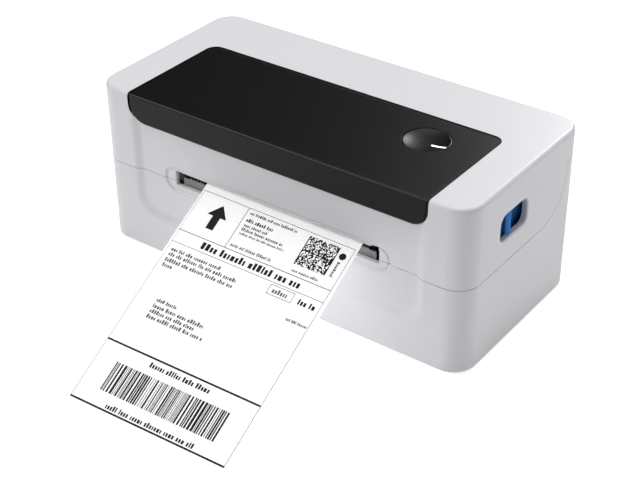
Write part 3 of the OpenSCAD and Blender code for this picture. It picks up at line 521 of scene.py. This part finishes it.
def cut_cover_openings(cover):
    fit = 0.15                          # play round the panel
    cut(cover, rounded_prism((-PANEL_X - fit, FRONT - 20, PANEL_X + fit, PANEL_Y + fit),
                             PANEL_R + fit, HEIGHT - PANEL_THICK, HEIGHT + 5, "xy"))
    cut(cover, rounded_prism((-PANEL_X - fit, PANEL_Z - fit, PANEL_X + fit, 140),
                             10, FRONT - 5, FRONT + 2.0, "xz", 12))
    cut(cover, button_hole())
    for side in (-1, 1):
        # finger opening with a rounded outer edge: depth from the outside, offset
        edge = ((-2, 0.6), (-0.01, 0.6), (0.25, 0.22), (0.6, 0.0), (WALL + 3, 0.0))
        cut(cover, rounded_loft(WINDOW, WINDOW_R, "yz",
                                [(side * WIDTH / 2 - side * t, grow) for t, grow in edge]))
        cut(cover, hinge_cylinder(side, BARREL_R, *NOTCH))
        cut(cover, side_box(side, (NOTCH[0], HINGE_Y - 8, HINGE_Z - 12),
                            (NOTCH[1], HINGE_Y + 20, HINGE_Z)))
    # thicker surround of the finger openings
    for side in (-1, 1):
        ring = rounded_loft(WINDOW, WINDOW_R, "yz",
                            [(side * (IN_SIDE + dx), 1.6) for dx in (-1.1, 0.4)])
        cut(ring, rounded_prism(WINDOW, WINDOW_R, side * (IN_SIDE - 3), side * (IN_SIDE + 3),
                                "yz"))
        add(cover, ring)
    # relief above the slot's right end
    cut(cover, prism([(SLOT_X - 5.5, 52.5), (SLOT_X - 0.05, 52.5), (SLOT_X - 0.05, 54.1),
                      (SLOT_X - 4.2, 53.9)], FRONT - 1, IN_FRONT + 2, "xz"))


def add_cover_interior(cover):
    wall = IN_SIDE + 0.5                # reaches into the side wall
    for side in (-1, 1):
        for x0, x1 in COVER_KNUCKLES:
            knuckle = hinge_cylinder(side, HINGE_R - 0.02, x0, x1)
            cut(knuckle, hinge_cylinder(side, 1.56, x0 - 2, x1 + 2, 24))
            add(cover, knuckle)
        # upright stop, then the upper and lower rails
        add(cover,
            side_box(side, (102, -47, 61), (wall, -45.4, 73)),
            side_box(side, (104.4, -44, 78), (wall, 4, 79.6)),
            side_box(side, (108, -44, 54.6), (wall, 4, 56.4)))
    # tilted posts, trimmed to the inside
    for x in (-48, 48):
        for y in (8, 22):
            post = cylinder(3.4, 17.5, 47.5, x, y, "xy", 32)
            post.data.transform(TILT)
            intersect(post, box((-90, IN_FRONT + 0.2, 40), (90, 40, CEILING + 0.5)))
            add(cover, post)
    # posts behind the button
    for x in (BUTTON_X - 14, BUTTON_X + 14):
        add(cover, cylinder(2.2, 79.3, CEILING + 0.3, x, BUTTON_Y + 13.5, "xy", 24))
    # ceiling ribs across and lengthways
    for y in (12, 27, 40):
        add(cover, box((-108, y, CEILING - 4), (108, y + 1.4, CEILING + 0.2)))
    for x in (-90, -30, 30, 90):
        add(cover, box((x - 0.7, 12, CEILING - 4.2), (x + 0.7, 50, CEILING + 0.25)))


def in_panel_pocket(n, c):
    """True on the walls and sunk faces of the pocket that holds the panel; these white faces
    take the near-black edge material as painted shade.
    """
    on_top = c.z > HEIGHT - 1.7
    pocket = (abs(c.x) < PANEL_X + 0.25 and c.y < PANEL_Y + 0.25
              and (on_top or c.y < FRONT + 2.1 and c.z > PANEL_Z - 0.25))
    return pocket and n.z < 0.5 and (n.y > -0.8 or on_top and c.y > PANEL_Y - 1)


def build_cover():
    cover = outer_volume()
    intersect(cover, prism(cover_outline(), -200, 200, "yz"))
    cut(cover, hollow(CEILING))
    cut_front_slot(cover)
    cut_cover_openings(cover)
    add_cover_interior(cover)
    tidy(cover)
    weight_normals(cover)
    # the pocket's white walls are painted near-black: painted shade
    finish_piece(cover, "cover_casing", "cover", ["white_shell", "panel_edge_painted_shade"],
                 ["cover_shell"], in_panel_pocket)


def base_lip():
    """Lip that stands inside the cover's front and sides."""
    def layer(inset, z0, z1, rear=IN_REAR):
        return rounded_prism((-IN_SIDE + inset, IN_FRONT + inset, IN_SIDE - inset, rear),
                             CORNER - WALL - max(inset, 0), z0, z1, "xy")

    lip = layer(-0.3, 43, 46.8)
    add(lip, layer(0.2, 44, SPLIT + 2))
    cut(lip, layer(1.6, 40, 60, IN_REAR + 9))
    # open at the rear, behind the slot and at the latches
    cut(lip, box((-150, 6, 40), (150, 80, 60)), box((-67, -60, 40), (67, 0, 60)),
        box((100, -42, 40), (120, -12, 60)), box((-120, -42, 40), (-100, -12, 60)))
    return lip


def add_base_interior(base):
    # x, ys, bottom, top, top of the web to the side wall, reach of the web into the wall
    posts = ((97, (-12, 36), 8, 43, 43, 0.5),
             (104, (-41, 41), 2.2, 22.2, 22, 0.2))
    for side in (-1, 1):
        knuckle = hinge_cylinder(side, HINGE_R, *BASE_KNUCKLE)
        add(knuckle, side_box(side, (BASE_KNUCKLE[0], HINGE_Y - HINGE_R, HINGE_Z - 8),
                              (BASE_KNUCKLE[1], HINGE_Y + 1.5, HINGE_Z)))
        add(base, knuckle)
        # block on the wall behind the latch hook
        add(base, side_box(side, (108, -25.5, 36), (IN_SIDE + 0.5, -18.5, 44)))
        for x, ys, bottom, top, web_top, reach in posts:
            for y in ys:
                add(base, cylinder(3.6, bottom, top, side * x, y, "xy", 28),
                    side_box(side, (x, y - 1, bottom), (IN_SIDE + reach, y + 1, web_top)))


def cut_rear_openings(base):
    # paper inlet with its rim
    cut(base, rounded_loft((-64, 41.5, 64, 55.5), 4, "xz", [
        (REAR + 3, 0.6), (REAR - 0.01, 0.6), (REAR - 0.4, 0.2), (REAR - 0.8, 0.0)]))
    cut(base, rounded_prism((-60.5, 45, 60.5, 52), 2, IN_REAR - 5, REAR + 5, "xz", 8))
    # power jack, then data port and switch
    cut(base, cylinder(4.2, IN_REAR - 1, REAR + 1, 70, 15.1, "xz"))
    for opening in ((29, 9.4, 41, 20.9), (-79.6, 18.8, -70.4, 31.2)):
        cut(base, rounded_prism(opening, 0.8, IN_REAR - 1, REAR + 1, "xz", 4))


def build_base():
    base = outer_volume()
    intersect(base, prism(base_outline(), -200, 200, "yz"))
    cut(base, hollow(HINGE_Z - 2.4))
    cut_front_slot(base)
    add(base, base_lip())
    # ledge below the slot
    add(base, box((-60, IN_FRONT - 0.5, 38), (60, IN_FRONT + 3.5, 40)))
    # trough below the hinge barrel
    trough = (arc(HINGE_Y, HINGE_Z, BARREL_R, 183, 285, 20)
              + arc(HINGE_Y, HINGE_Z, 6.8, 285, 181, 20))
    add(base, prism([p for p in trough if p[1] < HINGE_Z - 0.2], -101, 101, "yz"))
    cut(base, box((-150, HINGE_Y + 0.05, BARREL_FLOOR), (150, HINGE_Y + 20, HINGE_Z + 5)))
    add_base_interior(base)
    cut_rear_openings(base)
    tidy(base)
    weight_normals(base)
    finish_piece(base, "base_casing", "base", ["white_shell"], ["base_housing"])


# ---------------------------------------------------------------- side latches
def build_latch(side, word):
    """Thin plate with a raised rib, and a leg that ends in a hook."""
    leg_x0, leg_x1 = 103.6, 107.7
    leg_y0, leg_y1 = -34, -26
    leg_z0, leg_z1 = 33.6, 77.6
    rib_x, rib_y, rib_height, rib_half = 108.5, -14.5, 3.3, 1.8
    latch = box((107.6, -33, 57), (108.7, 3.4, leg_z1))
    leg = box((leg_x0, leg_y0, leg_z0), (leg_x1, leg_y1, leg_z1))
    add(leg, box((leg_x0, leg_y0, leg_z0), (leg_x1, -19, 44)))
    # the hook's top follows a circle about the hinge
    swing = math.hypot(HINGE_Y + 22, HINGE_Z - 40) + 1.6
    cut(leg, cylinder(swing, 100, 112, HINGE_Y, HINGE_Z, "yz", 160))
    add(leg, box((leg_x0, leg_y0, 43.9), (leg_x1, leg_y1, leg_z1)))
    cut(leg, box((100, -23, 30), (112, -17, 34.6)))
    add(latch, leg)
    outline = [(rib_x, rib_y - rib_half), (rib_x, rib_y + rib_half)]
    for degrees in range(8, 173, 9):
        s, c = math.sin(math.radians(degrees)), math.cos(math.radians(degrees))
        outline.append((rib_x + rib_height * s ** 0.8, rib_y + rib_half * c * (1 - 0.42 * s)))
    rib = prism(outline, 61.2, 73.4, "xy")
    bevel(rib, width=0.5, angle=60, segments=3)
    add(latch, rib)
    # narrow ridges near the plate's ends
    for y in (-31.0, 1.6):
        add(latch, box((rib_x, y, 58.5), (109.6, y + 1.0, 76.4)))
    if side < 0:
        latch.data.transform(Matrix.Scale(-1, 4, (1, 0, 0)))
        latch.data.flip_normals()
    bevel(latch, width=0.25, angle=50, segments=2)
    tidy(latch, 40)
    weight_normals(latch)
    # rib faces beyond x 109.7 take the lighter blue: painted highlight
    finish_piece(latch, f"latch_{word}_slider", f"{word}_latch",
                 ["blue_plastic", "blue_rib_painted_highlight"], [f"latch_{word}"],
                 lambda n, c: abs(c.x) > 109.7)


# ---------------------------------------------------------------- black panel
def panel_material(n, c):
    """0 main surface; 1 sloped border and hidden sides, a darker, duller copy of the black as
    painted shade; 2 flat front band, a slightly darker copy as painted shade.
    """
    by_button = math.hypot(c.x - BUTTON_X, c.y - BUTTON_Y) < 13
    slope_top = c.z > HEIGHT - 1.4 and 0.3 < n.z < 0.995 and c.y > FRONT + 1.6
    slope_front = (c.y < FRONT + 1.2 and -0.95 < n.y < -0.3 and c.z < HEIGHT - 1.6
                   and (abs(c.x) > PANEL_X - 2.4 or c.z < PANEL_Z + 10.5))
    away = n.z < 0.3 and n.y > -0.3
    if slope_front or (slope_top or away) and not by_button:
        return 1
    return 2 if n.y < -0.97 and c.y < FRONT + 0.1 else 0


def build_panel():
    """Sheet folded over the front edge of the cover, with a sloped border."""
    fold = 1.3
    under = HEIGHT - PANEL_THICK
    profile = [(PANEL_Y, HEIGHT), (FRONT + fold, HEIGHT),
               *arc(FRONT + fold, HEIGHT - fold, fold, 90, 180, 8)[1:],
               (FRONT, PANEL_Z), (FRONT + 1.95, PANEL_Z), (FRONT + 1.95, under),
               (PANEL_Y, under)]
    top_rect = (-PANEL_X, FRONT - 30, PANEL_X, PANEL_Y)
    front_rect = (-PANEL_X, PANEL_Z, PANEL_X, 140)
    panel = prism(profile, -PANEL_X, PANEL_X, "yz")
    intersect(panel, rounded_prism(top_rect, PANEL_R, 0, 200, "xy", 12))
    intersect(panel, rounded_prism(front_rect, PANEL_FRONT_R, -100, 100, "xz", 14))
    cut(panel, button_hole())
    intersect(panel, rounded_loft(top_rect, PANEL_R, "xy", [
        (0, 0.02), (HEIGHT - 0.5, 0.02), (HEIGHT - 0.02, -2.4), (HEIGHT + 5, -2.4)], 12))
    intersect(panel, rounded_loft(front_rect, PANEL_FRONT_R, "xz", [
        (FRONT - 5, -1.2), (FRONT, -1.2), (FRONT + 0.9, 0.02), (20, 0.02)], 14))
    # flat faces are merged so that the bevel runs clean
    bm = bmesh.new()
    bm.from_mesh(panel.data)
    bmesh.ops.remove_doubles(bm, verts=bm.verts, dist=0.01)
    bmesh.ops.dissolve_limit(bm, angle_limit=math.radians(0.5), verts=bm.verts, edges=bm.edges)
    bm.to_mesh(panel.data)
    bm.free()
    bevel(panel, width=0.22, angle=24, segments=2)
    tidy(panel, 24)
    weight_normals(panel)
    finish_piece(panel, "black_panel", "cover",
                 ["black_panel", "panel_edge_painted_shade", "panel_band_painted_shade"], ["top_panel"], panel_material)


# ---------------------------------------------------------------- feed button and its light
CAP_R = 12.12
DISH_R = CAP_R - 0.9


def dish(radius):
    """Height of the button's hollow top."""
    return HEIGHT - 1.5 + 1.35 * min(1.0, radius / DISH_R) ** 2.2


def lathe(profile, cx, cy, steps=96):
    """Turn (radius, z) about an upright axis; points on the axis become single vertices."""
    bm = bmesh.new()
    rings = []
    for radius, z in profile:
        turns = [2 * math.pi * i / steps for i in range(steps)] if radius > 0 else [0]
        rings.append([bm.verts.new((cx + radius * math.cos(t), cy + radius * math.sin(t), z))
                      for t in turns])
    for a, b in zip(rings, rings[1:]):
        for i in range(steps):
            j = (i + 1) % steps
            if len(a) == 1:
                bm.faces.new((a[0], b[i], b[j]))
            elif len(b) == 1:
                bm.faces.new((a[i], a[j], b[0]))
            else:
                bm.faces.new((a[i], a[j], b[j], b[i]))
    return link(bm)


def build_button():
    """Dished disc with a soft rim, a flange under the ceiling and a stem."""
    flange, stem = CAP_R + 1.6, 2.6
    profile = [(DISH_R * i / 14, dish(DISH_R * i / 14)) for i in range(15)]
    profile += [(CAP_R - 0.45, HEIGHT - 0.06), (CAP_R - 0.15, HEIGHT - 0.16),
                (CAP_R, HEIGHT - 0.42), (CAP_R, CEILING - 0.2), (flange, CEILING - 0.2),
                (flange, CEILING - 1.4), (stem, CEILING - 1.4), (stem, 83.6), (0, 83.6)]
    button = lathe(profile, BUTTON_X, BUTTON_Y)
    tidy(button, 35)
    finish_piece(button, "feed_button_cap", "button", ["black_panel"],
                 ["feed_button"])


def build_light_bar():
    """Crowned bar that follows the button's dish, right of its centre."""
    length, width, sunk = 8.0, 1.15, 0.9
    nx, ny = 24, 6
    bm = bmesh.new()
    top, low = {}, {}
    for i in range(nx + 1):
        for k in range(ny + 1):
            v = k / ny
            taper = 0.75 if i in (0, nx) else 1
            x = BUTTON_X + 3.3 + length * (i / nx)
            y = BUTTON_Y - 1.1 + width * (v - 0.5) * taper
            z = (dish(math.hypot(x - BUTTON_X, y - BUTTON_Y))
                 + 0.12 - 0.10 * (abs(v - 0.5) * 2) ** 4)
            top[i, k] = bm.verts.new((x, y, z))
    for i in range(nx + 1):
        for k in (0, ny):
            x, y, z = top[i, k].co
            low[i, k] = bm.verts.new((x, y, z - sunk))
    for i in range(nx):
        j = i + 1
        for k in range(ny):
            bm.faces.new((top[i, k], top[j, k], top[j, k + 1], top[i, k + 1]))
        bm.faces.new((top[i, 0], low[i, 0], low[j, 0], top[j, 0]))
        bm.faces.new((top[i, ny], top[j, ny], low[j, ny], low[i, ny]))
        bm.faces.new((low[i, 0], low[i, ny], low[j, ny], low[j, 0]))
    for i in (0, nx):
        bm.faces.new([top[i, k] for k in range(ny + 1)] + [low[i, ny], low[i, 0]])
    bar = link(bm)
    tidy(bar, 35)
    finish_piece(bar, "status_light", "button", ["light_pipe"], ["light_bar"])


# ---------------------------------------------------------------- label sheet
SHEET_W, SHEET_L, SHEET_T = 96.0, 154.0, 0.2
SHEET_TOP = 25                          # part of the sheet behind the slot
LABEL = TILT @ Matrix.Translation((0, -SLOPE_RUN / math.cos(LABEL_SLOPE), 0))


def build_sheet():
    skew = math.tan(math.radians(4.8))
    bottom = SHEET_TOP - SHEET_L
    corners = ((-1, bottom), (1, bottom), (1, SHEET_TOP), (-1, SHEET_TOP))
    sheet = prism([(5.3 + side * SHEET_W / 2 - y * skew, y) for side, y in corners],
                  0, SHEET_T, "xy")
    sheet.data.transform(LABEL)
    tidy(sheet, 30)
    finish_piece(sheet, "label_sheet", "paper", ["label_paper"], ["label"])


# ---------------------------------------------------------------- label print
# Print coordinates: x in mm from the left of the printed frame, y in mm from the slot.
FRAME_W, FRAME_TOP, FRAME_H = 96.0, 2.3, 122.2
marks = {"dark": [], "soft": []}        # outlines in print coordinates

# rows of text: x0, x1, centre y, height, ink, seed
TOP_TEXT = (
    (32.1, 61.5, 4.8, 1.6, "soft", 2), (32.3, 50.0, 8.9, 2.0, "dark", 3),
    (32.6, 47.2, 11.9, 1.7, "soft", 4), (32.7, 59.0, 14.3, 1.8, "soft", 5),
    (32.7, 61.0, 16.8, 1.3, "soft", 6), (32.1, 58.1, 24.1, 1.8, "soft", 7),
    (70.8, 87.4, 24.4, 1.5, "soft", 8))
HEADER_TEXT = (
    (17.4, 79.2, 30.4, 3.9, "dark", 21), (2.8, 34.8, 38.1, 2.1, "soft", 31),
    (2.9, 46.2, 40.9, 2.2, "soft", 32), (2.8, 46.2, 44.2, 2.2, "soft", 33),
    (3.2, 9.8, 47.2, 2.2, "soft", 34))
BODY_TEXT = (
    (67.5, 77.5, 37.9, 2.7, "soft", 41), (83.4, 93.2, 38.2, 3.1, "dark", 42),
    (82.6, 95.0, 48.7, 1.5, "soft", 43), (12.5, 24.9, 65.2, 2.0, "soft", 51),
    (12.4, 45.2, 68.5, 2.2, "soft", 52), (12.5, 41.8, 71.4, 2.1, "soft", 53),
    (12.5, 48.8, 74.4, 2.2, "soft", 54), (30.4, 67.3, 95.7, 2.7, "dark", 61))
FOOT_TEXT = ((21.4, 75.5, 122.0, 2.6, "dark", 71),)
# full-width lines: y, thickness, ink
LINES = ((2.3, 0.3, "soft"), (26.9, 0.4, "soft"), (34.0, 0.3, "soft"),
         (92.3, 0.95, "dark"), (124.45, 0.95, "dark"))
# thin bars, x0, y0, x1, y1: cell divider and frame sides, then a small frame
UPRIGHTS = ((29.7, 2.3, 30.05, 26.9), (0.0, 2.3, 0.2, 124.4), (95.7, 2.3, 95.95, 124.4))
SMALL_FRAME = ((65.0, 35.1, 79.9, 35.4), (65.0, 40.3, 79.9, 40.6),
               (65.0, 35.1, 65.3, 40.6), (79.6, 35.1, 79.9, 40.6))
ARROW = ([(9.4, 13.6), (15.6, 6.6), (21.8, 13.6)],
         [(13.2, 13.5), (18.0, 13.5), (18.0, 21.2), (13.2, 21.2)])


def on_label(x, y, z):
    """Print coordinates to the sheet's plane, inside a slightly skewed frame."""
    u, t = x / FRAME_W, (y - FRAME_TOP) / FRAME_H
    left, right = -41.43 + 11.28 * t, 52.09 + 8.69 * t
    down = (2.40 + 0.48 * u) * (1 - t) + (128.3 - 2.6 * u) * t
    return (left + (right - left) * u, -down, z)


def block(x0, y0, x1, y1, ink="dark"):
    marks[ink].append([(x0, y0), (x1, y0), (x1, y1), (x0, y1)])


def text_rows(rows):
    """Plain blocks in word-like groups."""
    for x, end, y, h, ink, seed in rows:
        rng = random.Random(seed)
        while x < end - 0.3 * h:
            for _ in range(rng.randint(3, 7)):
                w = h * rng.choice((0.30, 0.42, 0.42, 0.55))
                if x + w > end + 0.2 * h:
                    break
                tall = h * rng.choice((0.72, 0.72, 1.0))
                block(x, y + h / 2 - tall, x + w, y + h / 2, ink)
                x += w + 0.20 * h
            x += 0.42 * h


def dot_matrix():
    """Square matrix; filled cells next to each other in a row become one block."""
    left, top, width, height, n = 69.6, 4.1, 18.7, 16.9, 31
    rng = random.Random(11)
    for i in range(n):
        row = [rng.random() < 0.56 or i == n // 2 or j == n // 2 or j in (0, n - 1)
               for j in range(n)]
        for filled, run in groupby(range(n), key=lambda j: row[j]):
            if filled:
                run = list(run)
                block(left + width * run[0] / n, top + height * i / n,
                      left + width * (run[-1] + 1) / n, top + height * (i + 1) / n)


def dot_and_ticks():
    """Round dot and a short upright row beside the matrix."""
    marks["dark"].append([(91.6 + 2.0 * math.cos(i * math.pi / 12),
                           8.2 + 1.9 * math.sin(i * math.pi / 12)) for i in range(24)])
    y = 11.6
    rng = random.Random(5)
    while y < 19.8:
        w = rng.choice((0.7, 0.9, 1.1))
        block(90.7, y, 92.3 if rng.random() < 0.6 else 91.9, y + w, "soft")
        y += w + 0.35


def bar_code():
    x = 12.9
    rng = random.Random(77)
    while x < 83.0:
        w = rng.choice((0.36, 0.36, 0.7, 0.7, 1.05))
        if rng.random() < 0.07:
            w = 1.4
        block(x, 100.9, x + w, 116.3)
        x += w + rng.choice((0.36, 0.36, 0.5, 0.7, 1.0))


def build_ink(key, ink):
    top, bottom, last_y = SHEET_T + 0.035, SHEET_T * 0.5, 124.9
    bm = bmesh.new()
    for outline in marks[key]:
        a, b = [[bm.verts.new(on_label(x, min(y, last_y), z)) for x, y in outline]
                for z in (top, bottom)]
        bm.faces.new(list(reversed(a)))
        bm.faces.new(b)
        for i in range(len(outline)):
            j = (i + 1) % len(outline)
            bm.faces.new((a[i], a[j], b[j], b[i]))
    piece = link(bm)
    piece.data.transform(LABEL)
    finish_piece(piece, "label_print_" + key, "paper", [ink])


def build_print():
    for y, thick, ink in LINES:
        block(-0.1, y - thick / 2, FRAME_W, y + thick / 2, ink)
    for bar in UPRIGHTS:
        block(*bar, "soft")
    marks["dark"].extend(ARROW)
    text_rows(TOP_TEXT)
    dot_matrix()
    dot_and_ticks()
    text_rows(HEADER_TEXT)
    for bar in SMALL_FRAME:
        block(*bar, "soft")
    text_rows(BODY_TEXT)
    bar_code()
    text_rows(FOOT_TEXT)
    build_ink("dark", "label_ink")
    build_ink("soft", "label_ink_soft")


# ---------------------------------------------------------------- stage, light, camera; metres
def build_floor():
    bpy.ops.mesh.primitive_plane_add(size=8)
    floor = bpy.context.active_object
    floor.name = "floor"
    paper = material("floor_paper", color=(0.90, 0.90, 0.905), rough=0.75, spec=0.15, grain=0.1,
                     grain_size=1.2, var=0.004, edge=0.0, patch=400, emit=(1, 1, 1),
                     emit_strength=0.34)
    split_glow(paper, camera=0.62, other=0.225)
    floor.data.materials.append(paper)


def build_world():
    """Dim sky that brightens towards the zenith."""
    world = bpy.data.worlds.new("studio")
    scene.world = world
    world.use_nodes = True
    tree = world.node_tree
    tree.nodes.clear()
    new, join = tree.nodes.new, tree.links.new
    output = new("ShaderNodeOutputWorld")
    sky = new("ShaderNodeBackground")
    coords = new("ShaderNodeTexCoord")
    split = new("ShaderNodeSeparateXYZ")
    ramp = new("ShaderNodeMapRange")
    for socket, value in (("From Min", 0.40), ("From Max", 1.0),
                          ("To Min", 0.0012), ("To Max", 0.072)):
        ramp.inputs[socket].default_value = value
    join(coords.outputs["Generated"], split.inputs["Vector"])
    join(split.outputs["Z"], ramp.inputs["Value"])
    join(ramp.outputs["Result"], sky.inputs["Strength"])
    sky.inputs["Color"].default_value = (0.985, 0.99, 1.0, 1)
    join(sky.outputs["Background"], output.inputs["Surface"])


def softbox(name, place, target, size, watts):
    light = bpy.data.lights.new(name, "AREA")
    light.shape = "RECTANGLE"
    light.size, light.size_y, light.energy = size, size, watts
    lamp = bpy.data.objects.new(name, light)
    lamp.location = place
    aim = Vector(target) - Vector(place)
    lamp.rotation_euler = aim.to_track_quat("-Z", "Y").to_euler()
    scene.collection.objects.link(lamp)


def build_camera():
    lens = bpy.data.cameras.new("camera")
    camera = bpy.data.objects.new("camera", lens)
    scene.collection.objects.link(camera)
    lens.sensor_fit = "HORIZONTAL"
    lens.sensor_width = 36.0
    lens.lens = 80.402625
    lens.clip_start = 0.02
    around, above, roll = (math.radians(a) for a in (36.447, 33.116, -0.511))
    back = Vector((math.sin(around) * math.cos(above), -math.cos(around) * math.cos(above),
                   math.sin(above)))
    right = Vector((0, 0, 1)).cross(back).normalized()
    up = back.cross(right)
    axes = (right * math.cos(roll) + up * math.sin(roll),
            -right * math.sin(roll) + up * math.cos(roll), back)
    pose = Matrix(axes).transposed().to_4x4()
    pose.translation = Vector((0.37352, -0.51822, 0.42420 + FOOT / 1000))
    camera.matrix_world = pose
    scene.camera = camera


paint_frame_nodes()
build_cover()
build_base()
build_latch(-1, "left")
build_latch(1, "right")
build_panel()
build_button()
build_light_bar()
build_sheet()
build_print()
for piece in scene.objects:
    if piece.name.startswith("label_"):
        piece.visible_shadow = False

build_floor()
build_world()
softbox("key", place=(-1.1, -1.2, 1.2), target=(0, 0, 0.04), size=0.8, watts=13.86)
softbox("top", place=(0.0, 0.1, 1.7), target=(0, 0, 0), size=1.6, watts=21.56)
softbox("right", place=(1.35, 0.95, 0.55), target=(0, 0, 0.04), size=0.7, watts=0.72)
softbox("rim", place=(1.1, 1.34, 1.0), target=(0.05, 0, 0.09), size=0.6, watts=5.1)
softbox("back", place=(-0.30, 1.75, 1.02), target=(0.05, 0, 0.09), size=0.5, watts=14.4)
build_camera()
scene.view_settings.view_transform = "Standard"
scene.view_settings.look = "None"
